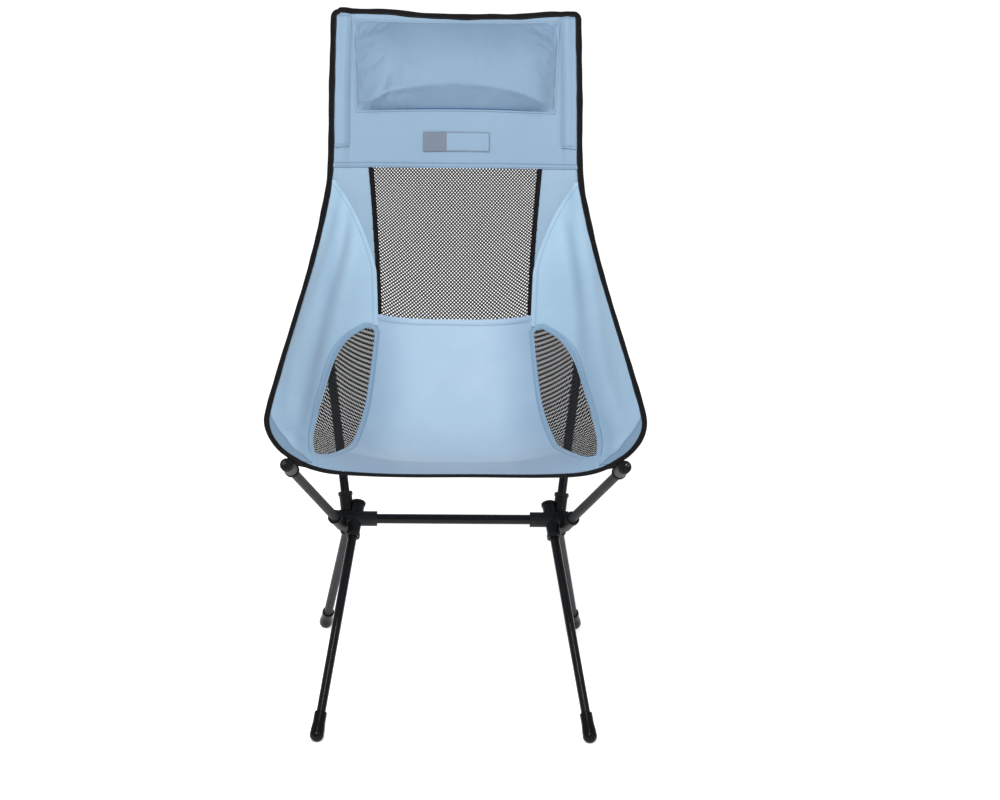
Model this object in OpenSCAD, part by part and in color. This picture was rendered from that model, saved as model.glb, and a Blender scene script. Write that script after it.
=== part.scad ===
// High-back packable camping chair: five-way hubs, plugged-in tube legs,
// struts and back poles, and a sewn sling that hangs from four tips.
// The chair faces -Y. Z = 0 is the ground.

/* [Overall] */
// Half the spread of the feet across the chair
foot_x = 196; // [180:1:210]
// Half the spread of the feet from front to back
foot_y = 255; // [235:1:265]
// Height of the crossbar axis
hub_z = 257; // [250:1:265]
// Distance from the crossbar axis forward to the origin
origin_back = 32.9; // [25:0.1:38]

/* [Tubes] */
// Outer diameter of legs, struts and back poles
tube_d = 13.5; // [12.5:0.1:14]
// Outer diameter of the crossbar
crossbar_d = 14.5; // [13.5:0.1:15.5]
// Wall thickness of every tube
tube_wall = 1.0; // [0.8:0.1:1.4]
// Half the length of the crossbar
crossbar_half = 132; // [128:1:134]
// Radial clearance of a plugged-in tube in its socket
socket_play = 0.05; // [0.02:0.01:0.08]
// Diameter of the elastic cord inside the tubes
cord_d = 2.6; // [2:0.1:3.5]

/* [Hubs] */
// Wall thickness round each socket
socket_wall = 2.9; // [2.4:0.1:3.2]
// Outer diameter of the crossbar collar
collar_d = 22.4; // [21:0.1:24]

/* [Feet] */
// Diameter of a foot cap at its domed end
foot_d = 21; // [19:0.5:23]
// Diameter of a foot cap at its open end
foot_top_d = 18.4; // [17:0.1:20]
// Length of a foot cap without its dome
foot_len = 36; // [30:1:42]

/* [Sling] */
// Thickness of the sewn fabric
fabric_t = 1.2; // [0.8:0.1:1.6]
// Width of the edge binding
binding_w = 9; // [7:0.5:10]
// Thickness of the edge binding
binding_t = 3.6; // [3:0.2:4]
// Height of the pillow above the head panel
pillow_h = 34; // [24:1:40]

/* [Hidden] */
$fn = 48;
tube_r = tube_d / 2;
bore_r = tube_r + socket_play;
socket_r = tube_r + socket_wall;
foot_r = foot_d / 2;
foot_flat = 0.5;
seam_gap = 0.5;

// Points where the tube axes meet the right-hand hub, measured from the
// middle of the crossbar axis at ground height.
front_leg_in = [145.5, 0, hub_z];
rear_leg_in = [155.5, 12, hub_z - 8];
strut_in = [169, -10, 254.5];
pole_in = [158, 15, hub_z + 5];

front_foot = [foot_x, -foot_y, foot_r - foot_flat];
rear_foot = [foot_x, foot_y, foot_r - foot_flat];
strut_end = [240.8, -198.6, 395.9];
pole_bend = [186, 110, 465];
pole_top = [176.5, 320.5, 952];

// Unit vectors along each tube, pointing out of the hub
function unit(v) = v / norm(v);
front_leg_dir = unit(front_foot - front_leg_in);
rear_leg_dir = unit(rear_foot - rear_leg_in);
strut_dir = unit(strut_end - strut_in);
pole_dir = unit(pole_bend - pole_in);
pole_up_dir = unit(pole_top - pole_bend);

// How far each socket reaches out from its hub point, and where its tube stops
front_leg_mouth = 31;
front_leg_stop = -5;
front_ring = -28;
rear_leg_mouth = 29;
rear_leg_stop = -5;
strut_mouth = 24;
strut_stop = 2;
pole_mouth = 31;
pole_stop = 10;
collar_end = 113.5;

// Sling stations from the front edge to the top edge. Each gives the centre
// line's y and z, the right edge's x, y and z, and how sharply the section
// turns up towards the edge.
STATIONS = [
    [-205, 388, 264, -223, 399, 2.2],
    [-105, 372, 271, -150, 447, 2.6],
    [-5, 360, 255, -78, 504, 2.8],
    [92, 398, 233, 3, 568, 2.8],
    [160, 527, 213, 80, 629, 2.4],
    [202, 640, 198, 152, 687, 2.0],
    [238, 744, 189, 214, 742, 2.0],
    [275, 856, 188, 262, 855, 2.0],
    [305, 963, 186, 310, 966, 2.0]
];
LAST = len(STATIONS) - 1;

// Station values at v, a smooth curve through the stations
function station(k) =
    k < 0 ? 2 * STATIONS[0] - STATIONS[1]
    : k > LAST ? 2 * STATIONS[LAST] - STATIONS[LAST - 1]
    : STATIONS[k];
function blend4(a, b, c, d, t) =
    0.5 * (2 * b + (c - a) * t + (2 * a - 5 * b + 4 * c - d) * t * t
    + (3 * b - a - 3 * c + d) * t * t * t);
function section(v) =
    let (k = min(floor(v), LAST - 1))
    blend4(station(k - 1), station(k), station(k + 1), station(k + 2), v - k);

// Point of the sling at v (front to top) and u (-1 to 1 across)
function sling(v, u) =
    let (s = section(v), w = pow(abs(u), s[5]))
    [s[2] * u, s[0] + (s[3] - s[0]) * w, s[1] + (s[4] - s[1]) * w];
function sling_normal(v, u) =
    let (e = 0.01, a = max(v - e, 0), b = min(v + e, LAST))
    unit(cross(sling(v, u + e) - sling(v, u - e), sling(b, u) - sling(a, u)));
function lifted(v, u, h) = sling(v, u) + h * sling_normal(v, u);

// Half width of the sling at v: the front corners are rounded
corner_v = 1.1;
corner_u = 0.4;
function reach(v) =
    let (k = min(max((corner_v - v) / corner_v, 0), 1))
    1 - corner_u * (1 - sqrt(1 - k * k));

// Panels stop short of the binding by the same inset all round
inset_v = 0.07;
inset_u = 0.972;
function panel_reach(v) = reach(v - inset_v) * inset_u;
top_v = LAST - inset_v;

// Outlines of the panels, as u at v
hem_v = 6;
mesh_low_v = 3.93;
window_low_v = 0.56;
window_top_v = 3.76;
window_mid_v = 2.1;
window_bend_v = 1.9;
window_in_u = 0.575;
window_out_u = 0.78;
window_toe_u = 0.742;
seam_low_v = 4.4;
seam_top_v = 5.77;

function quarter(k) = sqrt(max(1 - k * k, 0));
function mesh_side(v) = 0.54 + 0.071 * (v - 3.9);
function window_inner(v) =
    v > window_bend_v ? window_in_u - 0.016 * (v - window_bend_v)
    : window_in_u + (window_toe_u - window_in_u)
        * (1 - quarter((window_bend_v - v) / (window_bend_v - window_low_v)));
function window_outer(v) =
    v > window_mid_v
    ? 0.57 + (window_out_u - 0.57) * quarter((v - window_mid_v) / (window_top_v - window_mid_v))
    : window_out_u - 0.025 * (window_mid_v - v);
function shoulder_seam(v) =
    let (k = (v - seam_low_v) / (seam_top_v - seam_low_v))
    mesh_side(v) + 0.275 * pow(k, 1.3);

// Row positions between two values
function steps(a, b, n) = [for (i = [0:n]) a + (b - a) * i / n];

// Closed sheet between two outlines, n_u cells across, from a list of
// [v, left u, right u] rows, lifted off the sling by the height lift
module sheet(rows, n_u, lift = 0, t = fabric_t) {
    n_v = len(rows);
    m = n_u + 1;
    side = n_v * m;
    points = [
        for (h = [lift + t / 2, lift - t / 2])
            for (r = rows)
                for (i = [0:n_u])
                    lifted(r[0], r[1] + (r[2] - r[1]) * i / n_u, h)
    ];
    rim = concat(
        [for (i = [0:n_u - 1]) i],
        [for (j = [0:n_v - 2]) j * m + n_u],
        [for (i = [n_u:-1:1]) (n_v - 1) * m + i],
        [for (j = [n_v - 1:-1:1]) j * m]
    );
    n_rim = len(rim);
    faces = concat(
        [for (j = [0:n_v - 2]) for (i = [0:n_u - 1])
            let (a = j * m + i, b = a + 1, c = a + m + 1, d = a + m)
            each [[a, c, b], [a, d, c]]],
        [for (j = [0:n_v - 2]) for (i = [0:n_u - 1])
            let (a = side + j * m + i, b = a + 1, c = a + m + 1, d = a + m)
            each [[a, b, c], [a, c, d]]],
        [for (k = [0:n_rim - 1])
            let (a = rim[k], b = rim[(k + 1) % n_rim])
            each [[a, b, side + b], [a, side + b, side + a]]]
    );
    polyhedron(points, faces, convexity = 6);
}

// Closed tape along a run of [v, u] places, w wide in the sling and t thick
module tape(places, w, t, lift = 0, closed = false) {
    n = len(places);
    mid = [for (q = places) lifted(q[0], q[1], lift)];
    up = [for (q = places) sling_normal(q[0], q[1])];
    ahead = [for (k = [0:n - 1]) closed
        ? mid[(k + 1) % n] - mid[(k + n - 1) % n]
        : mid[min(k + 1, n - 1)] - mid[max(k - 1, 0)]];
    out = [for (k = [0:n - 1]) unit(cross(ahead[k], up[k]))];
    shape = [[1, 0], [0.6, 1], [-0.6, 1], [-1, 0], [-0.6, -1], [0.6, -1]];
    points = [for (k = [0:n - 1]) for (s = shape)
        mid[k] + out[k] * s[0] * w / 2 + up[k] * s[1] * t / 2];
    last = closed ? n - 1 : n - 2;
    walls = [for (k = [0:last]) for (i = [0:5])
        let (a = k * 6 + i, b = k * 6 + (i + 1) % 6,
            c = ((k + 1) % n) * 6 + (i + 1) % 6, d = ((k + 1) % n) * 6 + i)
        each [[a, b, c], [a, c, d]]];
    ends = closed ? [] : [[5, 4, 3, 2, 1, 0], [for (i = [0:5]) (n - 1) * 6 + i]];
    polyhedron(points, concat(walls, ends), convexity = 10);
}

// Children with their z axis turned to run from p along the vector d
module along(p, d) {
    translate(p)
        rotate([0, acos(d[2] / norm(d)), atan2(d[1], d[0])])
            children();
}

// Tube or rod from a to b millimetres along d from p
module rod(p, d, a, b, r) {
    along(p + a * d, d)
        cylinder(r = r, h = b - a);
}
module tube(p, d, a, b, r) {
    difference() {
        rod(p, d, a, b, r);
        rod(p, d, a - 1, b + 1, r - tube_wall);
    }
}

// Puts a right-hand piece on its side of the chair, with the origin moved
// from under the crossbar to the middle of the footprint
module placed(left = false) {
    translate([0, -origin_back, 0])
        mirror([left ? 1 : 0, 0, 0])
            children();
}

module crossbar_tube() {
    color("#17181a")
        placed()
            tube([0, 0, hub_z], [1, 0, 0], -crossbar_half, crossbar_half, crossbar_d / 2);
}

module crossbar_cord() {
    color("#2c2c2e")
        placed()
            rod([0, 0, hub_z], [1, 0, 0], 2 - crossbar_half, crossbar_half - 2, cord_d / 2);
}

// Five-way hub: a core with one socket for each tube. The front leg's socket
// runs right through and shows as an open ring behind the crossbar.
module hub(left) {
    play_r = crossbar_d / 2 + socket_play;
    lip = 1.2;
    color("#1b1c1e")
        placed(left)
            difference() {
                union() {
                    rod([0, 0, hub_z], [1, 0, 0], collar_end, 148, collar_d / 2);
                    rod([0, 3, hub_z - 1], [1, 0, 0], 140, 171, 13);
                    rod(front_leg_in, front_leg_dir, front_ring, front_leg_mouth, socket_r);
                    rod(front_leg_in, front_leg_dir, front_leg_mouth - 5, front_leg_mouth, socket_r + lip);
                    rod(front_leg_in, front_leg_dir, front_ring, front_ring + 4, socket_r + lip);
                    rod(rear_leg_in, rear_leg_dir, -2, rear_leg_mouth, socket_r);
                    rod(rear_leg_in, rear_leg_dir, rear_leg_mouth - 5, rear_leg_mouth, socket_r + lip);
                    rod(strut_in, strut_dir, -10, strut_mouth, socket_r);
                    rod(strut_in, strut_dir, strut_mouth - 5, strut_mouth, socket_r + lip);
                    rod(pole_in, pole_dir, -8, pole_mouth, socket_r);
                    rod(pole_in, pole_dir, pole_mouth - 5, pole_mouth, socket_r + lip);
                }
                rod([0, 0, hub_z], [1, 0, 0], collar_end - 1, crossbar_half, play_r);
                rod(front_leg_in, front_leg_dir, front_leg_stop, front_leg_mouth + 9, bore_r);
                rod(front_leg_in, front_leg_dir, front_ring - 9, front_leg_stop + 1, tube_r - 1);
                rod(rear_leg_in, rear_leg_dir, rear_leg_stop, rear_leg_mouth + 9, bore_r);
                rod(strut_in, strut_dir, strut_stop, strut_mouth + 9, bore_r);
                rod(pole_in, pole_dir, pole_stop, pole_mouth + 9, bore_r);
            }
}

// Leg tube from its stop in the hub to the inside of its foot cap
module leg(left, start, dir, stop, foot) {
    color("#131416")
        placed(left)
            tube(start, dir, stop, norm(foot - start), tube_r);
}
module leg_cord(left, start, dir, stop, foot) {
    color("#2c2c2e")
        placed(left)
            rod(start, dir, stop + 1, norm(foot - start) - 1, cord_d / 2);
}

// Pushed-on cap with a domed end that is worn flat where it stands
module foot_cap(left, start, dir, foot) {
    length = norm(foot - start);
    color("#0c0c0d")
        placed(left)
            difference() {
                union() {
                    along(start + (length - foot_len) * dir, dir)
                        rotate_extrude()
                            polygon([
                                [0, 0],
                                [foot_top_d / 2 - 0.8, 0],
                                [foot_top_d / 2, 0.8],
                                [foot_top_d / 2, foot_len * 0.45],
                                [foot_r - 0.2, foot_len * 0.8],
                                [foot_r - 0.2, foot_len],
                                [0, foot_len]
                            ]);
                    translate(foot)
                        sphere(r = foot_r);
                }
                rod(start, dir, length - foot_len - 1, length, tube_r);
                translate(foot - [20, 20, 40 + foot_r - foot_flat])
                    cube(40);
            }
}

module seat_strut(left) {
    color("#2f3032")
        placed(left)
            tube(strut_in, strut_dir, strut_stop, norm(strut_end - strut_in), tube_r);
}

// Rounded plastic plug that seats in the corner pocket
module strut_tip(left) {
    length = norm(strut_end - strut_in);
    color("#0c0c0d")
        placed(left)
            along(strut_in + length * strut_dir, strut_dir)
                rotate_extrude()
                    polygon([
                        [0, -14],
                        [tube_r - tube_wall, -14],
                        [tube_r - tube_wall, 0],
                        [7.6, 0],
                        for (a = [0:15:90]) [7.6 * cos(a), 3 + 6 * sin(a)]
                    ]);
}
module strut_cord(left) {
    color("#2c2c2e")
        placed(left)
            rod(strut_in, strut_dir, strut_stop + 1, norm(strut_end - strut_in) - 15, cord_d / 2);
}

// Back pole: a lower tube, an angled joining piece and an upper tube
pole_low_len = norm(pole_bend - pole_in);
pole_up_len = norm(pole_top - pole_bend);
elbow_half = 16;
knuckle = 0.8;
module back_pole_lower(left) {
    color("#131416")
        placed(left)
            tube(pole_in, pole_dir, pole_stop, pole_low_len - elbow_half, tube_r);
}
module back_pole_upper(left) {
    color("#131416")
        placed(left)
            tube(pole_bend, pole_up_dir, elbow_half, pole_up_len, tube_r);
}
module pole_elbow(left) {
    plug_r = tube_r - tube_wall;
    color("#1b1c1e")
        placed(left) {
            rod(pole_in, pole_dir, pole_low_len - elbow_half - 22, pole_low_len, plug_r);
            rod(pole_bend, pole_up_dir, 0, elbow_half + 22, plug_r);
            rod(pole_in, pole_dir, pole_low_len - elbow_half, pole_low_len, tube_r);
            rod(pole_bend, pole_up_dir, 0, elbow_half, tube_r);
            translate(pole_bend)
                sphere(r = tube_r + knuckle);
        }
}
module pole_tip(left) {
    color("#0c0c0d")
        placed(left)
            along(pole_top, pole_up_dir)
                rotate_extrude()
                    polygon([
                        [0, -14],
                        [tube_r - tube_wall, -14],
                        [tube_r - tube_wall, 0],
                        [tube_r, 0],
                        for (a = [0:15:90]) [tube_r * cos(a), 1 + 5 * sin(a)]
                    ]);
}
module pole_cord(left) {
    color("#2c2c2e")
        placed(left) {
            rod(pole_in, pole_dir, pole_stop + 1, pole_low_len - elbow_half - 23, cord_d / 2);
            rod(pole_bend, pole_up_dir, elbow_half + 23, pole_up_len - 15, cord_d / 2);
        }
}

// Flat fabric panels of the sling
function band(v_list, gap = 0) = [for (v = v_list) [v, -mesh_side(v) + gap, mesh_side(v) - gap]];
mesh_gap = 0.022;
seam_u = 0.004;

module seat_panel() {
    half = [for (v = concat([inset_v, 0.1, 0.15], steps(0.25, mesh_low_v - 0.01, 22)))
        [v, min(panel_reach(v), window_inner(max(v, window_low_v)), mesh_side(v) + (v < 3.8 ? 1 : 0)) - seam_u]];
    color("#a9c5e0")
        placed()
            sheet([for (h = half) [h[0], -h[1], h[1]]], 18);
}
module back_mesh() {
    color("#3a3a3e")
        placed()
            sheet(band(steps(mesh_low_v, hem_v - 0.01, 14), mesh_gap), 12, 0, 0.8);
}
module mesh_tape(left) {
    color("#101012")
        placed(left)
            tape([for (v = steps(mesh_low_v + 0.01, hem_v - 0.02, 14)) [v, mesh_side(v) - mesh_gap / 2]],
                0.7 * mesh_gap * 190, 1.4);
}
module side_mesh(left) {
    v_list = concat(steps(window_low_v + 0.06, 3.5, 14), [3.6, 3.68]);
    color("#3a3a3e")
        placed(left)
            sheet([for (v = v_list) [v, window_inner(v) + seam_u, window_outer(v) - seam_u]], 5, 0, 0.8);
}
module wing(left) {
    v_list = concat([0.2, 0.3, 0.42, 0.55], steps(0.7, 3.7, 15), steps(3.85, seam_low_v, 3), steps(4.55, 5.7, 8));
    color("#9dbbd8")
        placed(left)
            sheet([for (v = v_list) [v,
                (v <= window_low_v ? window_toe_u
                : v < window_top_v ? window_outer(v)
                : v <= seam_low_v ? mesh_side(v)
                : shoulder_seam(v)) + seam_u,
                panel_reach(v)]], 8);
}
module shoulder(left) {
    v_list = concat(steps(seam_low_v + 0.1, seam_top_v - 0.07, 9), [seam_top_v, 5.88, hem_v - 0.01]);
    color("#9dbbd8")
        placed(left)
            sheet([for (v = v_list) [v, mesh_side(v) + seam_u,
                v <= 5.7 ? shoulder_seam(v) - seam_u : panel_reach(v)]], 6);
}
module head_panel() {
    color("#96b4d2")
        placed()
            sheet([for (v = steps(hem_v, top_v, 12)) [v, -panel_reach(v), panel_reach(v)]], 16);
}

// Black tape folded over the whole edge of the sling
module edge_binding() {
    front = [for (u = steps(-0.54, 0.54, 16)) [0, u]];
    corner = [for (a = steps(80, 0, 9)) [corner_v * (1 - sin(a)), 0]];
    side_v = concat([for (c = corner) c[0]], steps(1.3, 7.9, 33));
    side = [for (v = side_v) [v, reach(v)]];
    top = [for (u = steps(0.99, -0.99, 16)) [LAST, u]];
    other = [for (k = [len(side) - 1:-1:0]) [side[k][0], -side[k][1]]];
    color("#141214")
        placed()
            tape(concat(front, side, top, other), binding_w, binding_t, 0, true);
}

// Extra layer sewn over each front corner
module corner_patch(left) {
    low_v = 0.26;
    high_v = 1.12;
    color("#8fadcc")
        placed(left)
            sheet([for (v = steps(low_v, high_v - 0.05, 8))
                [v, min(0.785 + 0.21 * (v - low_v), panel_reach(v) - 0.02), panel_reach(v)]],
                4, fabric_t + 0.5, 0.8);
}

// Blind pocket under each front corner that a strut tip seats in
module corner_pocket(left) {
    length = norm(strut_end - strut_in);
    color("#39393d")
        placed(left)
            along(strut_in + (length - 16) * strut_dir, strut_dir)
                rotate_extrude()
                    polygon([
                        [tube_r + 1, 0],
                        [tube_r + 1.8, 0],
                        [tube_r + 1.8, 19],
                        for (a = [10:20:90]) [(tube_r + 1.8) * cos(a), 19 + 7.6 * sin(a)],
                        [0, 25.8],
                        for (a = [80:-20:0]) [(tube_r + 1) * cos(a), 19 + 6.8 * sin(a)]
                    ]);
}

// Domed rivet on the end of each corner pocket
module rivet(left) {
    color("#b9bcc0")
        placed(left)
            along(strut_end + 10.7 * strut_dir, strut_dir)
                rotate_extrude()
                    polygon([[0, 0], [3.2, 0], [2.9, 0.6], [2, 1.1], [0, 1.3]]);
}

// Tunnel behind the head panel that each pole slides into
sleeve_in = 0.62;
module pole_sleeve(left) {
    color("#8aa9c9")
        placed(left)
            difference() {
                rod(pole_bend, pole_up_dir, sleeve_in * pole_up_len, pole_up_len + 8, tube_r + 1.6);
                rod(pole_bend, pole_up_dir, sleeve_in * pole_up_len - 1, pole_up_len + 6.6, tube_r + 0.4);
            }
}

// Pillow: an open-bottomed cover sewn to the head panel, and its stuffing
pillow_low_v = 6.78;
pillow_high_v = 7.86;
pillow_u = 0.8;
function dome(k, l) = pow(max(1 - pow(abs(k), 3), 0), 0.6) * pow(max(1 - pow(abs(l), 4), 0), 0.6);
module pillow_shell(base, crown, n_v, n_u, shrink) {
    m = n_u + 1;
    side = (n_v + 1) * m;
    place = [for (j = [0:n_v]) for (i = [0:n_u])
        let (k = 2 * j / n_v - 1, l = 2 * i / n_u - 1)
        [(pillow_low_v + pillow_high_v) / 2 + k * shrink * (pillow_high_v - pillow_low_v) / 2,
            l * shrink * pillow_u, dome(k, l)]];
    points = concat(
        [for (q = place) lifted(q[0], q[1], base + 0.4 + crown * q[2])],
        [for (q = place) lifted(q[0], q[1], base)]
    );
    rim = concat(
        [for (i = [0:n_u - 1]) i],
        [for (j = [0:n_v - 1]) j * m + n_u],
        [for (i = [n_u:-1:1]) n_v * m + i],
        [for (j = [n_v:-1:1]) j * m]
    );
    n_rim = len(rim);
    faces = concat(
        [for (j = [0:n_v - 1]) for (i = [0:n_u - 1])
            let (a = j * m + i, b = a + 1, c = a + m + 1, d = a + m)
            each [[a, c, b], [a, d, c]]],
        [for (j = [0:n_v - 1]) for (i = [0:n_u - 1])
            let (a = side + j * m + i, b = a + 1, c = a + m + 1, d = a + m)
            each [[a, b, c], [a, c, d]]],
        [for (k = [0:n_rim - 1])
            let (a = rim[k], b = rim[(k + 1) % n_rim])
            each [[a, b, side + b], [a, side + b, side + a]]]
    );
    polyhedron(points, faces, convexity = 4);
}
module pillow_cover() {
    color("#93b2d1")
        placed()
            difference() {
                pillow_shell(fabric_t / 2 + 0.3, pillow_h, 12, 18, 1);
                pillow_shell(fabric_t / 2 - 0.2, pillow_h - 1.4, 12, 18, 0.965);
            }
}
module pillow_fill() {
    color("#e8e8e6")
        placed()
            pillow_shell(fabric_t / 2 + 1.2, pillow_h - 6, 10, 14, 0.9);
}

// Plain sewn-on patch below the pillow
module label_patch() {
    color("#7f8fa3")
        placed()
            sheet([for (v = steps(6.2, 6.45, 3)) [v, -0.27, 0.27]], 8, fabric_t / 2 + 0.5, 0.5);
}

crossbar_tube();
crossbar_cord();
hub(true);  // hub_left
hub(false);  // hub_right
leg(true, front_leg_in, front_leg_dir, front_leg_stop, front_foot);  // front_leg_left
leg(false, front_leg_in, front_leg_dir, front_leg_stop, front_foot);  // front_leg_right
leg(true, rear_leg_in, rear_leg_dir, rear_leg_stop, rear_foot);  // rear_leg_left
leg(false, rear_leg_in, rear_leg_dir, rear_leg_stop, rear_foot);  // rear_leg_right
foot_cap(true, front_leg_in, front_leg_dir, front_foot);  // front_foot_left
foot_cap(false, front_leg_in, front_leg_dir, front_foot);  // front_foot_right
foot_cap(true, rear_leg_in, rear_leg_dir, rear_foot);  // rear_foot_left
foot_cap(false, rear_leg_in, rear_leg_dir, rear_foot);  // rear_foot_right
leg_cord(true, front_leg_in, front_leg_dir, front_leg_stop, front_foot);  // front_leg_cord_left
leg_cord(false, front_leg_in, front_leg_dir, front_leg_stop, front_foot);  // front_leg_cord_right
leg_cord(true, rear_leg_in, rear_leg_dir, rear_leg_stop, rear_foot);  // rear_leg_cord_left
leg_cord(false, rear_leg_in, rear_leg_dir, rear_leg_stop, rear_foot);  // rear_leg_cord_right
seat_strut(true);  // seat_strut_left
seat_strut(false);  // seat_strut_right
strut_tip(true);  // strut_tip_left
strut_tip(false);  // strut_tip_right
strut_cord(true);  // strut_cord_left
strut_cord(false);  // strut_cord_right
back_pole_lower(true);  // back_pole_lower_left
back_pole_lower(false);  // back_pole_lower_right
back_pole_upper(true);  // back_pole_upper_left
back_pole_upper(false);  // back_pole_upper_right
pole_elbow(true);  // pole_elbow_left
pole_elbow(false);  // pole_elbow_right
pole_tip(true);  // pole_tip_left
pole_tip(false);  // pole_tip_right
pole_cord(true);  // pole_cord_left
pole_cord(false);  // pole_cord_right
seat_panel();
back_mesh();
mesh_tape(true);  // mesh_tape_left
mesh_tape(false);  // mesh_tape_right
side_mesh(true);  // side_mesh_left
side_mesh(false);  // side_mesh_right
wing(true);  // wing_left
wing(false);  // wing_right
shoulder(true);  // shoulder_left
shoulder(false);  // shoulder_right
head_panel();
edge_binding();
corner_patch(true);  // corner_patch_left
corner_patch(false);  // corner_patch_right
corner_pocket(true);  // corner_pocket_left
corner_pocket(false);  // corner_pocket_right
rivet(true);  // rivet_left
rivet(false);  // rivet_right
pole_sleeve(true);  // pole_sleeve_left
pole_sleeve(false);  // pole_sleeve_right
pillow_cover();
pillow_fill();
label_patch();
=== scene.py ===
"""High-back packable camping chair: fabrics, stitching, mesh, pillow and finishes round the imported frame."""

from __future__ import annotations

import logging
import math
from collections.abc import Callable
from dataclasses import dataclass, field
from enum import Enum

import bpy
import numpy as np
from mathutils import Matrix, Vector


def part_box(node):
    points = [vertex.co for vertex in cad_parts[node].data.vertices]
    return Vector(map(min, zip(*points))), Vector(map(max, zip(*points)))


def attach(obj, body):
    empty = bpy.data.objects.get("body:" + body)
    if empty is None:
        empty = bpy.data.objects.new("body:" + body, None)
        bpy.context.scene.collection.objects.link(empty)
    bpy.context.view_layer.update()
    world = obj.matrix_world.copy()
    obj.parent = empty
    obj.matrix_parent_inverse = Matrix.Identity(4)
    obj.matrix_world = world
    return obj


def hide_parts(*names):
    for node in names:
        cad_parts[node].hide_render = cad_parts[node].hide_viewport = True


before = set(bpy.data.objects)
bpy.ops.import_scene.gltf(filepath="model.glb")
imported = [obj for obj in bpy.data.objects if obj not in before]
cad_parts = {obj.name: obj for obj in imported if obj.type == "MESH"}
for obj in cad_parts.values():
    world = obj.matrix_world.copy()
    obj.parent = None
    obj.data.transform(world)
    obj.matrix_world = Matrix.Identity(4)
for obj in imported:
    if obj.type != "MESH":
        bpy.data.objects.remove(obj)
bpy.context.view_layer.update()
LOG = logging.getLogger("chair")

Array = np.ndarray
Outline = Callable[[Array], Array]


class Side(Enum):
    """The two sides of the chair, as someone in front of it sees them."""

    LEFT = -1.0
    RIGHT = 1.0

    @property
    def word(self) -> str:
        """The side's name in lower case."""
        return self.name.lower()

    def span(self, inner: Array | float, outer: Array | float) -> tuple[Array | float, Array | float]:
        """The lower and upper u on this side, from the inner and outer u of the right side."""
        return (inner, outer) if self is Side.RIGHT else (-outer, -inner)


def smoothstep(low: float, high: float, x: Array) -> Array:
    """Goes smoothly from 0 where x is low to 1 where x is high."""
    t = np.clip((x - low) / (high - low), 0.0, 1.0)
    return t * t * (3.0 - 2.0 * t)


def bump(x: Array, centre: float | Array, width: float) -> Array:
    """A bell of height 1 round centre, with the given half width."""
    return np.exp(-(((x - centre) / width) ** 2))


def unit(a: Array) -> Array:
    """The vectors in the last axis of a, scaled to length 1."""
    return a / np.maximum(np.linalg.norm(a, axis=-1, keepdims=True), 1e-12)


def lengths_along(line: Array) -> Array:
    """Distance in metres from a path's start to each of its places."""
    return np.concatenate([[0.0], np.cumsum(np.linalg.norm(np.diff(line, axis=0), axis=1))])


def resampled(at: Array, along: Array, line: Array) -> Array:
    """Rows of a path at the lengths in at, where the path's own rows lie at the lengths in along."""
    return np.stack([np.interp(at, along, line[:, k]) for k in range(3)], 1)


def pinched(count: int, pinch: float) -> Array:
    """Positions from 0 to 1 that crowd towards both ends.

    Args:
        count: How many positions.
        pinch: 0 for even spacing, 1 for a full cosine.

    Returns:
        The positions, in order.
    """
    x = np.linspace(0.0, 1.0, count)
    return (1.0 - pinch) * x + pinch * 0.5 * (1.0 - np.cos(np.pi * x))


def mesh_piece(name: str, points: Array, faces: list[Array], uv: Array | None = None,
               attributes: dict[str, Array] | None = None) -> bpy.types.Object:
    """Makes a smooth-shaded object from vertex and face arrays.

    Args:
        name: The piece's name.
        points: Vertex places, one row each, in the chair's frame.
        faces: Index arrays, each with one row per face and the same number of corners.
        uv: A place on the cloth for each vertex, in metres.
        attributes: Named values, one for each vertex.

    Returns:
        The new object, linked to the scene.
    """
    mesh = bpy.data.meshes.new(name)
    corners = np.concatenate([f.ravel() for f in faces]).astype(np.int32)
    sizes = np.concatenate([np.full(len(f), f.shape[1], np.int32) for f in faces])
    starts = np.concatenate([[0], np.cumsum(sizes)[:-1]]).astype(np.int32)
    mesh.vertices.add(len(points))
    mesh.vertices.foreach_set("co", points.astype(np.float32).ravel())
    mesh.loops.add(len(corners))
    mesh.loops.foreach_set("vertex_index", corners)
    mesh.polygons.add(len(sizes))
    mesh.polygons.foreach_set("loop_start", starts)
    mesh.polygons.foreach_set("loop_total", sizes)
    mesh.polygons.foreach_set("use_smooth", np.full(len(sizes), True))
    if uv is not None:
        layer = mesh.uv_layers.new(name="cloth")
        layer.data.foreach_set("uv", uv[corners].astype(np.float32).ravel())
    for key, values in (attributes or {}).items():
        attribute = mesh.attributes.new(key, "FLOAT", "POINT")
        attribute.data.foreach_set("value", values.astype(np.float32).ravel())
    mesh.update()
    mesh.validate()
    piece = bpy.data.objects.new(name, mesh)
    bpy.context.scene.collection.objects.link(piece)
    return piece


def grid_faces(rows: int, columns: int, offset: int = 0, flip: bool = False) -> Array:
    """Four-cornered faces of a rows by columns grid of vertices.

    Args:
        rows: Vertices along the first parameter.
        columns: Vertices along the second parameter.
        offset: Index of the grid's first vertex.
        flip: Whether the faces turn the other way.

    Returns:
        One row of four indices for each face.
    """
    j, i = np.meshgrid(np.arange(rows - 1), np.arange(columns - 1), indexing="ij")
    a = (offset + j * columns + i).ravel()
    quad = np.stack([a, a + 1, a + columns + 1, a + columns], 1)
    return quad[:, ::-1] if flip else quad


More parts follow.
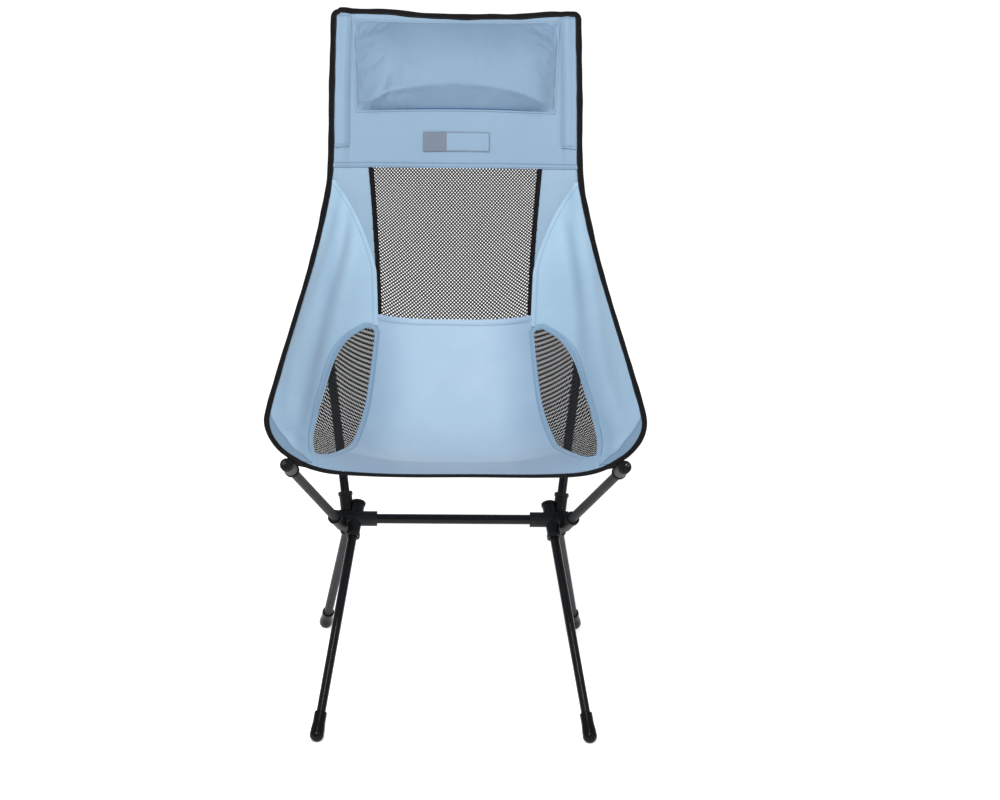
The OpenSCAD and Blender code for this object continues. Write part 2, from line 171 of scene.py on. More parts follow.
def rim_faces(rows: int, columns: int, other: int) -> Array:
    """Faces round the edge of a grid, joining it to a second grid that starts at index other."""
    first = np.arange(columns)
    right = np.arange(1, rows) * columns + columns - 1
    last = (rows - 1) * columns + np.arange(columns - 2, -1, -1)
    left = np.arange(rows - 2, 0, -1) * columns
    rim = np.concatenate([first, right, last, left])
    ahead = np.roll(rim, -1)
    return np.stack([rim, rim + other, ahead + other, ahead], 1)


def closed_sheet(name: str, upper: Array, lower: Array, uv: Array,
                 attributes: dict[str, Array] | None = None) -> bpy.types.Object:
    """A closed cloth from the grids of its upper and lower face.

    Args:
        name: The piece's name.
        upper: Grid of places on the face that the sitter sees.
        lower: Grid of places on the other face.
        uv: Grid of places on the flat cloth, in metres.
        attributes: Named grids of values.

    Returns:
        The new object.
    """
    rows, columns = upper.shape[:2]
    half = rows * columns
    points = np.concatenate([upper.reshape(-1, 3), lower.reshape(-1, 3)])
    flat_uv = np.concatenate([uv.reshape(-1, 2)] * 2)
    extra = {k: np.concatenate([v.ravel()] * 2) for k, v in (attributes or {}).items()}
    faces = [grid_faces(rows, columns), grid_faces(rows, columns, half, True), rim_faces(rows, columns, half)]
    return mesh_piece(name, points, faces, flat_uv, extra)


def ring_faces(rings: int, corners: int, closed: bool) -> Array:
    """Four-cornered faces between rings of vertices; the last ring meets the first where closed."""
    j, i = np.meshgrid(np.arange(rings if closed else rings - 1), np.arange(corners), indexing="ij")
    near, far, ahead = j * corners, (j + 1) % rings * corners, (i + 1) % corners
    return np.stack([(near + i).ravel(), (near + ahead).ravel(), (far + ahead).ravel(), (far + i).ravel()], 1)


def swept(name: str, centres: Array, outward: Array, normal: Array, profile: Array,
          closed: bool = False) -> bpy.types.Object:
    """A profile carried along a path.

    Each profile point p is placed at centre + p[0] * outward + p[1] * normal.

    Args:
        name: The piece's name.
        centres: Path places.
        outward: Unit vectors for the profile's first axis, one for each place.
        normal: Unit vectors for the profile's second axis.
        profile: The profile's points in metres, in order; shape (k, 2), or (n, k, 2) where it varies.
        closed: Whether the path joins its own start.

    Returns:
        The new object, with u round the profile and v along the path, both in metres.
    """
    n = len(centres)
    prof = np.broadcast_to(profile, (n, *profile.shape[-2:]))
    k = prof.shape[1]
    points = (centres[:, None] + prof[..., :1] * outward[:, None] + prof[..., 1:] * normal[:, None])
    faces = [ring_faces(n, k, closed)]
    if not closed:
        faces += [np.arange(k)[None, ::-1], ((n - 1) * k + np.arange(k))[None]]
    uv = np.stack(np.broadcast_arrays(lengths_along(prof[0])[None], lengths_along(centres)[:, None]), -1)
    return mesh_piece(name, points.reshape(-1, 3), faces, uv.reshape(-1, 2))


def oval(width: float, thickness: float, count: int = 12, power: float = 0.75) -> Array:
    """Points of a rounded flat section, by a superellipse.

    Args:
        width: Full width in metres.
        thickness: Full thickness in metres.
        count: How many points.
        power: 1 for an ellipse, less for squarer ends.

    Returns:
        The points, anticlockwise.
    """
    a = np.linspace(0.0, 2.0 * np.pi, count, endpoint=False)
    c, s = np.cos(a), np.sin(a)
    x = np.sign(c) * np.abs(c) ** power * width / 2
    y = np.sign(s) * np.abs(s) ** power * thickness / 2
    return np.stack([x, y], 1)


def across_path(line: Array, normal: Array, closed: bool = False) -> Array:
    """Unit vectors square to a path and to the surface it lies on.

    Args:
        line: Places along the path.
        normal: The surface's normals there.
        closed: Whether the path joins its own start.

    Returns:
        One vector for each place.
    """
    step = np.roll(line, -1, axis=0) - np.roll(line, 1, axis=0) if closed else np.gradient(line, axis=0)
    return unit(np.cross(unit(step), normal))


def turned(name: str, start: Array, axis: Array, profile: Array, count: int = 48,
           squash: float = 1.0) -> bpy.types.Object:
    """A closed profile turned about an axis.

    Args:
        name: The piece's name.
        start: A place on the axis.
        axis: The axis, of length 1.
        profile: Rows of radius and distance along the axis from start, in order round the wall.
        count: Steps round the axis.
        squash: Scale of the second sideways direction, below 1 for a flattened shape.

    Returns:
        The new object.
    """
    side = unit(np.cross(axis, np.array([0.0, 0.0, 1.0])))
    other = np.cross(axis, side) * squash
    a = np.linspace(0.0, 2.0 * np.pi, count, endpoint=False)
    rim = np.cos(a)[:, None] * side + np.sin(a)[:, None] * other
    points = start + profile[None, :, 1:] * axis + profile[None, :, :1] * rim[:, None]
    faces = ring_faces(count, len(profile), True)[:, [0, 3, 2, 1]]
    around = a[:, None] * profile[None, :, 0].mean()
    uv = np.stack(np.broadcast_arrays(around, profile[None, :, 1]), -1).reshape(-1, 2)
    return mesh_piece(name, points.reshape(-1, 3), [faces], uv)


# ------------------------------------------------------------------ the sling's shape


@dataclass(frozen=True)
class Station:
    """One cross-section of the sling: its centre line, its right edge, and how sharply it turns up."""

    y: float
    z: float
    edge_x: float
    edge_y: float
    edge_z: float
    rise: float


@dataclass(frozen=True)
class SlingShape:
    """The sling as one surface of v, from the front edge to the top, and u, from -1 to 1 across."""

    stations: tuple[Station, ...] = (
        Station(-0.205, 0.388, 0.264, -0.223, 0.399, 2.2),
        Station(-0.105, 0.372, 0.271, -0.150, 0.447, 2.6),
        Station(-0.005, 0.360, 0.255, -0.078, 0.504, 2.8),
        Station(0.092, 0.398, 0.233, 0.003, 0.568, 2.8),
        Station(0.160, 0.527, 0.213, 0.080, 0.629, 2.4),
        Station(0.202, 0.640, 0.198, 0.152, 0.687, 2.0),
        Station(0.238, 0.744, 0.189, 0.214, 0.742, 2.0),
        Station(0.275, 0.856, 0.188, 0.262, 0.855, 2.0),
        Station(0.305, 0.963, 0.186, 0.310, 0.966, 2.0),
    )
    back: float = 0.0
    corner_v: float = 1.1
    corner_u: float = 0.4
    hem_v: float = 6.0
    mesh_low_v: float = 3.93
    window_low_v: float = 0.56
    window_top_v: float = 3.76
    window_mid_v: float = 2.1
    window_bend_v: float = 1.9
    window_in_u: float = 0.575
    window_out_u: float = 0.785
    window_toe_u: float = 0.742
    seam_low_v: float = 4.4
    seam_top_v: float = 5.77
    sleeve_u: float = 0.91
    strip_low_v: float = 6.31

    @property
    def last(self) -> float:
        """The value of v at the top edge."""
        return float(len(self.stations) - 1)

    def section(self, v: Array) -> Array:
        """The six station values at v, on a Catmull-Rom curve through the stations."""
        rows = np.array([[s.y + self.back, s.z, s.edge_x, s.edge_y + self.back, s.edge_z, s.rise]
                         for s in self.stations])
        rows = np.concatenate([2 * rows[:1] - rows[1:2], rows, 2 * rows[-1:] - rows[-2:-1]])
        v = np.clip(v, 0.0, self.last + 0.2)
        k = np.minimum(v.astype(int), int(self.last) - 1)
        t = (v - k)[..., None]
        a, b, c, d = rows[k], rows[k + 1], rows[k + 2], rows[k + 3]
        square, cube = 2 * a - 5 * b + 4 * c - d, 3 * b - a - 3 * c + d
        return 0.5 * (2 * b + (c - a) * t + square * t**2 + cube * t**3)

    def plain(self, v: Array, u: Array) -> Array:
        """The smooth surface: each section rises from the centre line by |u| to the power of rise."""
        s = self.section(v)
        w = np.abs(u) ** s[..., 5]
        return np.stack([s[..., 2] * u, s[..., 0] + (s[..., 3] - s[..., 0]) * w,
                         s[..., 1] + (s[..., 4] - s[..., 1]) * w], -1)

    def plain_normal(self, v: Array, u: Array) -> Array:
        """Unit normals of the smooth surface, towards the sitter."""
        e = 0.01
        across = self.plain(v, u + e) - self.plain(v, u - e)
        ahead = self.plain(np.minimum(v + e, self.last + 0.2), u) - self.plain(np.maximum(v - e, 0.0), u)
        return unit(np.cross(across, ahead))

    def relief(self, v: Array, u: Array) -> Array:
        """Height of the folds and bulges over the smooth surface, in metres.

        Wing folds run with the pull from the strut tips to the poles; the poles press a ridge into
        the head panel; the seat dips a little between its seams; slow waves break the evenness.
        """
        a = np.abs(u)
        side = np.sign(u)
        up_wing = smoothstep(1.0, 2.2, v) * (1 - smoothstep(4.6, 5.6, v))
        folds = 0.0
        for place, width, height in ((0.86, 0.035, 0.0024), (0.93, 0.03, -0.0018), (0.79, 0.04, -0.0015)):
            drift = place + 0.03 * np.sin(1.3 * v + 2.0 * side)
            folds = folds + height * bump(a, drift, width)
        head = smoothstep(self.hem_v - 0.1, self.hem_v + 0.5, v)
        ridge = head * (0.0026 * bump(a, self.sleeve_u, 0.034) - 0.0012 * bump(a, 0.852, 0.016))
        slow = 0.0012 * np.sin(2.1 * v + 3.0 * u) * np.sin(1.3 * v - 4.0 * u + 0.7) * (1 - a**6)
        corner = 0.0025 * bump(v, 0.9, 0.5) * bump(a, 0.86, 0.05) * np.sin(9.0 * v + 14.0 * a)
        front = -0.0045 * (1 - smoothstep(0.0, 0.55, v)) ** 2 * (1 - a**4)
        return folds * up_wing + ridge + slow + corner + front

    def place(self, v: Array, u: Array, lift: float | Array = 0.0) -> Array:
        """Places on the sling with its folds, lifted towards the sitter by lift metres."""
        v, u = np.broadcast_arrays(np.asarray(v, float), np.asarray(u, float))
        height = self.relief(v, u) + lift
        return self.plain(v, u) + height[..., None] * self.plain_normal(v, u)

    def reach(self, v: Array) -> Array:
        """Half width of the sling in u: 1, less a quarter-ellipse at each front corner."""
        k = np.clip((self.corner_v - v) / self.corner_v, 0.0, 1.0)
        return 1 - self.corner_u * (1 - np.sqrt(1 - k * k))

    def run(self, v: Array) -> Array:
        """Length in metres along the centre line from the front edge to v."""
        fine = np.linspace(0.0, self.last + 0.2, 801)
        return np.interp(v, fine, lengths_along(self.plain(fine, np.zeros_like(fine))))

    def v_at(self, length: Array) -> Array:
        """The value of v at a length along the centre line."""
        fine = np.linspace(0.0, self.last + 0.2, 801)
        return np.interp(length, self.run(fine), fine)

    def cloth(self, v: Array, u: Array) -> Array:
        """Place on the flat cloth, in metres: the arc across and the run along."""
        return np.stack([u * self.section(v)[..., 2], self.run(v)], -1)

    def mesh_side(self, v: Array) -> Array:
        """The u of the back mesh's side at v."""
        return 0.54 + 0.071 * (v - 3.9)

    def window_inner(self, v: Array) -> Array:
        """The u of a side window's inner edge: straight above, a quarter-ellipse to its toe below."""
        k = np.clip((self.window_bend_v - v) / (self.window_bend_v - self.window_low_v), 0, 1)
        low = self.window_in_u + (self.window_toe_u - self.window_in_u) * (1 - np.sqrt(1 - k * k))
        return np.where(v > self.window_bend_v, self.window_in_u - 0.016 * (v - self.window_bend_v), low)

    def window_outer(self, v: Array) -> Array:
        """The u of a side window's outer edge: a quarter-ellipse above, nearly straight below."""
        k = np.clip((v - self.window_mid_v) / (self.window_top_v - self.window_mid_v), 0, 1)
        high = 0.57 + (self.window_out_u - 0.57) * (1 - k**5)
        return np.where(v > self.window_mid_v, high, self.window_out_u - 0.025 * (self.window_mid_v - v))

    def window_rows(self, end_v: float, count: int) -> Array:
        """Values of v up a side window to end_v, closer together round its toe."""
        return np.concatenate([np.linspace(self.window_low_v, 1.2, 50)[:-1], np.linspace(1.2, end_v, count)])

    def hem(self, u: Array) -> Array:
        """The v of the head panel's lower edge at u."""
        return self.hem_v - 0.02 + 0.06 * u * u

    def top(self, u: Array) -> Array:
        """The v of the top edge, which sags between the poles."""
        sag = 0.042 * smoothstep(-0.55, -0.12, u) * (1 - 0.55 * smoothstep(0.35, 0.85, u))
        return self.last + 0.044 - sag - 0.008 * np.sin(7.0 * u + 1.0) ** 2

    def shoulder_painted_shade(self, v: Array) -> Array:
        """The u of the curved sewn line between the wing and the shoulder panel."""
        k = np.clip((v - self.seam_low_v) / (self.seam_top_v - self.seam_low_v), 0, 1)
        return self.mesh_side(v) + 0.275 * k**1.3


# ------------------------------------------------------------------ finishes


@dataclass(frozen=True)
class Weave:
    """A woven cloth: its colours, the pitch of its yarn, and how much light it scatters."""

    name: str
    colour: tuple[float, float, float]
    shade: tuple[float, float, float]
    pitch: float = 0.0006
    roughness: float = 0.62
    sheen: float = 0.25
    relief: float = 0.12
    specular: float = 0.3


def weave_material(weave: Weave) -> bpy.types.Material:
    """Cloth from crossed yarns on the piece's own UV map, with soft mottling and painted shade along hem
    grooves, creases and shaded bands.

    Args:
        weave: The cloth's colours and yarn.

    Returns:
        The material.
    """
    material = bpy.data.materials.new(weave.name)
    material.use_nodes = True
    tree = material.node_tree
    nodes, links = tree.nodes, tree.links
    nodes.clear()

    surface = nodes.new("NodeFrame")
    surface.label = "Surface"
    yarn = nodes.new("NodeFrame")
    yarn.label = "Yarn"
    tone = nodes.new("NodeFrame")
    tone.label = "Tone"

    output = nodes.new("ShaderNodeOutputMaterial")
    output.label = "Cloth"
    shader = nodes.new("ShaderNodeBsdfPrincipled")
    shader.label = "Woven cloth"
    shader.inputs["Roughness"].default_value = weave.roughness
    shader.inputs["Sheen Weight"].default_value = weave.sheen
    shader.inputs["Sheen Roughness"].default_value = 0.45
    shader.inputs["Specular IOR Level"].default_value = weave.specular

    cloth = nodes.new("ShaderNodeUVMap")
    cloth.label = "Place on the cloth"
    cloth.uv_map = "cloth"
    warp = nodes.new("ShaderNodeTexWave")
    warp.label = "Warp yarns"
    warp.wave_type, warp.bands_direction, warp.wave_profile = "BANDS", "X", "SIN"
    weft = nodes.new("ShaderNodeTexWave")
    weft.label = "Weft yarns"
    weft.wave_type, weft.bands_direction, weft.wave_profile = "BANDS", "Y", "SIN"
    for wave in (warp, weft):
        wave.inputs["Scale"].default_value = math.pi / (10.0 * weave.pitch)
        wave.inputs["Distortion"].default_value = 0.0
    crossing = nodes.new("ShaderNodeMath")
    crossing.label = "Yarns over and under"
    crossing.operation = "MAXIMUM"
    uneven = nodes.new("ShaderNodeTexNoise")
    uneven.label = "Uneven yarn"
    uneven.inputs["Scale"].default_value = 900.0
    uneven.inputs["Detail"].default_value = 2.0
    yarn_height = nodes.new("ShaderNodeMath")
    yarn_height.label = "Yarn height"
    yarn_height.operation = "MULTIPLY_ADD"
    yarn_height.inputs[1].default_value = 0.35
    raised = nodes.new("ShaderNodeBump")
    raised.label = "Yarn relief"
    raised.inputs["Strength"].default_value = weave.relief
    raised.inputs["Distance"].default_value = 0.0004

    place = nodes.new("ShaderNodeTexCoord")
    place.label = "Place on the chair"
    mottle = nodes.new("ShaderNodeTexNoise")
    mottle.label = "Soft mottling"
    mottle.inputs["Scale"].default_value = 14.0
    mottle.inputs["Detail"].default_value = 5.0
    mottle.inputs["Roughness"].default_value = 0.6
    mottle_ramp = nodes.new("ShaderNodeMapRange")
    mottle_ramp.label = "How much mottling"
    mottle_ramp.inputs["From Min"].default_value = 0.25
    mottle_ramp.inputs["From Max"].default_value = 0.75
    mottle_ramp.inputs["To Min"].default_value = 0.0
    mottle_ramp.inputs["To Max"].default_value = 0.30
    # Painted shade: a per-vertex attribute, added to the mottling, darkens the cloth towards its shade colour
    # along hem grooves, creases and shaded bands.
    seams = nodes.new("ShaderNodeAttribute")
    seams.label = "Painted shade"
    seams.attribute_name = "painted_shade"
    darken = nodes.new("ShaderNodeMath")
    darken.label = "Mottling and painted shade"
    darken.operation = "ADD"
    darken.use_clamp = True
    colour = nodes.new("ShaderNodeMix")
    colour.label = "Cloth colour"
    colour.data_type = "RGBA"
    colour.inputs["A"].default_value = (*weave.colour, 1.0)
    colour.inputs["B"].default_value = (*weave.shade, 1.0)

    for node in (warp, weft, crossing, uneven, yarn_height, raised, cloth):
        node.parent = yarn
    for node in (place, mottle, mottle_ramp, seams, darken, colour):
        node.parent = tone
    for node in (output, shader):
        node.parent = surface
    for index, node in enumerate((cloth, warp, weft, crossing, uneven, yarn_height, raised)):
        node.location = (-1500 + 190 * index, -420 - 60 * (index % 2))
    for index, node in enumerate((place, mottle, mottle_ramp, seams, darken, colour)):
        node.location = (-1300 + 190 * index, 220 + 60 * (index % 2))
    shader.location, output.location = (0, 0), (320, 0)

    links.new(cloth.outputs["UV"], warp.inputs["Vector"])
    links.new(cloth.outputs["UV"], weft.inputs["Vector"])
    links.new(warp.outputs["Fac"], crossing.inputs[0])
    links.new(weft.outputs["Fac"], crossing.inputs[1])
    links.new(cloth.outputs["UV"], uneven.inputs["Vector"])
    links.new(uneven.outputs["Fac"], yarn_height.inputs[0])
    links.new(crossing.outputs[0], yarn_height.inputs[2])
    links.new(yarn_height.outputs[0], raised.inputs["Height"])
    links.new(raised.outputs["Normal"], shader.inputs["Normal"])
    links.new(place.outputs["Object"], mottle.inputs["Vector"])
    links.new(mottle.outputs["Fac"], mottle_ramp.inputs["Value"])
    links.new(mottle_ramp.outputs["Result"], darken.inputs[0])
    links.new(seams.outputs["Fac"], darken.inputs[1])
    links.new(darken.outputs[0], colour.inputs["Factor"])
    links.new(colour.outputs["Result"], shader.inputs["Base Color"])
    links.new(shader.outputs["BSDF"], output.inputs["Surface"])
    return material


@dataclass(frozen=True)
class Moulding:
    """A hard finish: moulded plastic, anodised tube or bare metal."""

    name: str
    colour: tuple[float, float, float]
    worn: tuple[float, float, float]
    roughness: float
    metallic: float = 0.0
    grain: float = 1400.0
    relief: float = 0.05
    stretch: float = 1.0
    specular: float = 0.5
    ior: float = 1.45


def hard_material(finish: Moulding) -> bpy.types.Material:
    """Hard surface with fine grain, rubbed edges and uneven gloss.

    Args:
        finish: The surface's colours, gloss and grain.

    Returns:
        The material.
    """
    material = bpy.data.materials.new(finish.name)
    material.use_nodes = True
    tree = material.node_tree
    nodes, links = tree.nodes, tree.links
    nodes.clear()

    surface = nodes.new("NodeFrame")
    surface.label = "Surface"
    texture = nodes.new("NodeFrame")
    texture.label = "Grain"
    wear = nodes.new("NodeFrame")
    wear.label = "Wear"

    output = nodes.new("ShaderNodeOutputMaterial")
    output.label = "Hard part"
    shader = nodes.new("ShaderNodeBsdfPrincipled")
    shader.label = finish.name.replace("_", " ")
    shader.inputs["Metallic"].default_value = finish.metallic
    shader.inputs["Specular IOR Level"].default_value = finish.specular
    shader.inputs["IOR"].default_value = finish.ior

    place = nodes.new("ShaderNodeTexCoord")
    place.label = "Place on the chair"
    along = nodes.new("ShaderNodeMapping")
    along.label = "Grain direction"
    along.inputs["Scale"].default_value = (1.0, 1.0, finish.stretch)
    grain = nodes.new("ShaderNodeTexNoise")
    grain.label = "Fine grain"
    grain.inputs["Scale"].default_value = finish.grain
    grain.inputs["Detail"].default_value = 3.0
    raised = nodes.new("ShaderNodeBump")
    raised.label = "Grain relief"
    raised.inputs["Strength"].default_value = finish.relief
    raised.inputs["Distance"].default_value = 0.0003

    smudge = nodes.new("ShaderNodeTexNoise")
    smudge.label = "Handling marks"
    smudge.inputs["Scale"].default_value = 38.0
    smudge.inputs["Detail"].default_value = 6.0
    gloss = nodes.new("ShaderNodeMapRange")
    gloss.label = "Uneven gloss"
    gloss.inputs["From Min"].default_value = 0.3
    gloss.inputs["From Max"].default_value = 0.7
    gloss.inputs["To Min"].default_value = finish.roughness - 0.06
    gloss.inputs["To Max"].default_value = finish.roughness + 0.08
    geometry = nodes.new("ShaderNodeNewGeometry")
    geometry.label = "Edges"
    edges = nodes.new("ShaderNodeMapRange")
    edges.label = "Rubbed edges"
    edges.inputs["From Min"].default_value = 0.52
    edges.inputs["From Max"].default_value = 0.62
    edges.inputs["To Max"].default_value = 0.55
    colour = nodes.new("ShaderNodeMix")
    colour.label = "Colour with wear"
    colour.data_type = "RGBA"
    colour.inputs["A"].default_value = (*finish.colour, 1.0)
    colour.inputs["B"].default_value = (*finish.worn, 1.0)

    for node in (along, grain, raised):
        node.parent = texture
    for node in (smudge, gloss, geometry, edges, colour):
        node.parent = wear
    for node in (output, shader):
        node.parent = surface
    for index, node in enumerate((place, along, grain, raised)):
        node.location = (-1100 + 200 * index, -360)
    for index, node in enumerate((smudge, gloss, geometry, edges, colour)):
        node.location = (-1100 + 200 * index, 260)
    shader.location, output.location = (0, 0), (320, 0)

    links.new(place.outputs["Object"], along.inputs["Vector"])
    links.new(along.outputs["Vector"], grain.inputs["Vector"])
    links.new(grain.outputs["Fac"], raised.inputs["Height"])
    links.new(raised.outputs["Normal"], shader.inputs["Normal"])
    links.new(place.outputs["Object"], smudge.inputs["Vector"])
    links.new(smudge.outputs["Fac"], gloss.inputs["Value"])
    links.new(gloss.outputs["Result"], shader.inputs["Roughness"])
    links.new(geometry.outputs["Pointiness"], edges.inputs["Value"])
    links.new(edges.outputs["Result"], colour.inputs["Factor"])
    links.new(colour.outputs["Result"], shader.inputs["Base Color"])
    links.new(shader.outputs["BSDF"], output.inputs["Surface"])
    return material


@dataclass
class Finishes:
    """Every finish on the chair, made once."""

    sling: bpy.types.Material = field(init=False)
    seat: bpy.types.Material = field(init=False)
    wing: bpy.types.Material = field(init=False)
    shoulder: bpy.types.Material = field(init=False)
    pillow: bpy.types.Material = field(init=False)
    trim: bpy.types.Material = field(init=False)
    patch: bpy.types.Material = field(init=False)
    tape: bpy.types.Material = field(init=False)
    net: bpy.types.Material = field(init=False)
    pocket: bpy.types.Material = field(init=False)
    thread: bpy.types.Material = field(init=False)
    dark_thread: bpy.types.Material = field(init=False)
    label: bpy.types.Material = field(init=False)
    slit: bpy.types.Material = field(init=False)
    tube: bpy.types.Material = field(init=False)
    strut: bpy.types.Material = field(init=False)
    hub: bpy.types.Material = field(init=False)
    cap: bpy.types.Material = field(init=False)
    cord: bpy.types.Material = field(init=False)
    rivet: bpy.types.Material = field(init=False)

    def __post_init__(self) -> None:
        """Makes the materials."""
        self.sling = weave_material(Weave("sling_cloth", (0.188, 0.281, 0.381), (0.150, 0.232, 0.330)))
        # Painted light: the seat, wing and shoulder cloths are lighter copies of the head panel's blue cloth,
        # standing for the light that falls on them, and the pillow cloth is a darker copy standing for its
        # shade.
        self.seat = weave_material(Weave("seat_cloth_painted_lit", (0.335, 0.455, 0.575), (0.200, 0.300, 0.420)))
        self.wing = weave_material(Weave("wing_cloth", (0.305, 0.440, 0.560), (0.190, 0.300, 0.425)))
        self.shoulder = weave_material(Weave("shoulder_cloth", (0.222, 0.325, 0.428), (0.180, 0.270, 0.365)))
        self.pillow = weave_material(Weave("pillow_cloth_painted_shade", (0.172, 0.256, 0.358), (0.118, 0.198, 0.295)))
        self.trim = weave_material(Weave("trim_cloth", (0.190, 0.300, 0.425), (0.150, 0.245, 0.360)))
        self.patch = weave_material(Weave("corner_cloth", (0.145, 0.232, 0.335), (0.110, 0.185, 0.280)))
        self.tape = weave_material(Weave("edge_tape", (0.0045, 0.0042, 0.0055), (0.002, 0.002, 0.0025),
                                         0.0011, 0.8, 0.02, 0.5, 0.12))
        self.net = weave_material(Weave("open_mesh", (0.008, 0.008, 0.010), (0.004, 0.004, 0.005),
                                        0.0004, 0.7, 0.03, 0.3, 0.2))
        self.pocket = weave_material(Weave("pocket_webbing", (0.060, 0.060, 0.064), (0.030, 0.030, 0.032),
                                           0.0012, 0.75, 0.1, 0.5, 0.2))
        self.thread = weave_material(Weave("sewing_thread", (0.130, 0.215, 0.340), (0.100, 0.165, 0.270),
                                           0.0003, 0.5, 0.2, 0.3))
        self.dark_thread = weave_material(Weave("black_thread", (0.022, 0.022, 0.025), (0.01, 0.01, 0.011),
                                                0.0003, 0.5, 0.2, 0.3))
        self.label = weave_material(Weave("label_cloth", (0.135, 0.165, 0.215), (0.090, 0.115, 0.155),
                                          0.0005, 0.6, 0.2, 0.25))
        self.slit = weave_material(Weave("shadowed_slit", (0.045, 0.095, 0.200), (0.03, 0.06, 0.13),
                                         0.0006, 0.8, 0.05))
        self.tube = hard_material(Moulding("anodised_tube", (0.0016, 0.0016, 0.0020), (0.006, 0.006, 0.007),
                                           0.2, 0.0, 900.0, 0.03, stretch=0.15, specular=0.5, ior=1.28))
        self.strut = hard_material(Moulding("grey_anodised_tube", (0.019, 0.019, 0.020), (0.03, 0.03, 0.031),
                                            0.45, 0.0, 900.0, 0.04, stretch=0.3, specular=0.5, ior=1.15))
        self.hub = hard_material(Moulding("moulded_nylon", (0.0055, 0.0058, 0.0062), (0.016, 0.016, 0.017),
                                          0.42, relief=0.12, specular=0.22))
        self.cap = hard_material(Moulding("polished_plastic", (0.004, 0.004, 0.0045), (0.010, 0.010, 0.011),
                                          0.13, relief=0.02, specular=0.45, ior=1.2))
        self.cord = hard_material(Moulding("braided_cord", (0.02, 0.02, 0.022), (0.03, 0.03, 0.032), 0.75,
                                           relief=0.4))
        self.rivet = hard_material(Moulding("dark_rivet", (0.03, 0.03, 0.032), (0.06, 0.06, 0.06),
                                            0.2, 0.6, 600.0, 0.04, specular=0.9))


def dress(piece: bpy.types.Object, material: bpy.types.Material) -> bpy.types.Object:
    """Gives a new piece its material and the fixed body."""
    piece.data.materials.clear()
    piece.data.materials.append(material)
    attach(piece, "root")
    return piece


# ------------------------------------------------------------------ sewing


@dataclass(frozen=True)
class Stitching:
    """Lock stitches along a line: length, pitch and thickness in metres."""

    length: float = 0.0027
    pitch: float = 0.0036
    width: float = 0.0006
    height: float = 0.0004

    def mesh_arrays(self, line: Array, normals: Array) -> tuple[Array, Array, Array]:
        """Stitches along a line, each a lens of four rings of four corners.

        Args:
            line: Places along the sewn line.
            normals: Surface normals at those places.

        Returns:
            Vertex places, faces and cloth places.
        """
        along = lengths_along(line)
        at = np.arange(self.pitch / 2, along[-1], self.pitch)
        mid = resampled(at, along, line)
        t = unit(resampled(at + 5e-4, along, line) - resampled(at - 5e-4, along, line))
        n = unit(resampled(at, along, normals))
        b = np.cross(n, t)
        rings = np.array([[-0.5, 0.35], [-0.22, 1.0], [0.22, 1.0], [0.5, 0.35]])
        corners = np.array([[1.0, 0.0], [0.0, 1.0], [-1.0, 0.0], [0.0, -1.0]])
        points = (mid[:, None, None]
                  + t[:, None, None] * (rings[:, 0] * self.length)[None, :, None, None]
                  + b[:, None, None] * (rings[:, 1:] * corners[None, :, 0] * self.width / 2)[None, :, :, None]
                  + n[:, None, None] * (rings[:, 1:] * corners[None, :, 1] * self.height)[None, :, :, None])
        count = len(at)
        base = (np.arange(count) * 16)[:, None, None, None]
        ring, side = np.meshgrid(np.arange(3), np.arange(4), indexing="ij")
        a, a2 = ring * 4 + side, ring * 4 + (side + 1) % 4
        quads = np.stack([a, a2, a2 + 4, a + 4], -1)[None] + base
        ends = (np.array([[3, 2, 1, 0], [12, 13, 14, 15]])[None] + base[:, 0]).reshape(-1, 4)
        faces = np.concatenate([quads.reshape(-1, 4), ends])
        uv = np.repeat(np.stack([np.zeros(count), at], 1), 16, axis=0)
        return points.reshape(-1, 3), faces, uv


def sew(name: str, runs: list[tuple[Array, Array]], material: bpy.types.Material,
        stitching: Stitching = Stitching()) -> bpy.types.Object:
    """One piece that holds the stitches of several seams.

    Args:
        name: The piece's name.
        runs: Places and normals along each sewn line.
        material: The thread's finish.
        stitching: The stitch's size.

    Returns:
        The new piece.
    """
    points, faces, uvs, offset = [], [], [], 0
    for line, normals in runs:
        p, f, uv = stitching.mesh_arrays(line, normals)
        points.append(p)
        faces.append(f + offset)
        uvs.append(uv)
        offset += len(p)
    piece = mesh_piece(name, np.concatenate(points), [np.concatenate(faces)], np.concatenate(uvs))
    return dress(piece, material)


def ruled(v: Array, left: Array, right: Array, columns: int) -> tuple[Array, Array]:
    """Grids of v and u between two outlines, with columns that crowd towards the sides."""
    t = pinched(columns, 0.5)
    vv = np.broadcast_to(v[:, None], (len(v), columns))
    return vv, left[:, None] * (1 - t) + right[:, None] * t


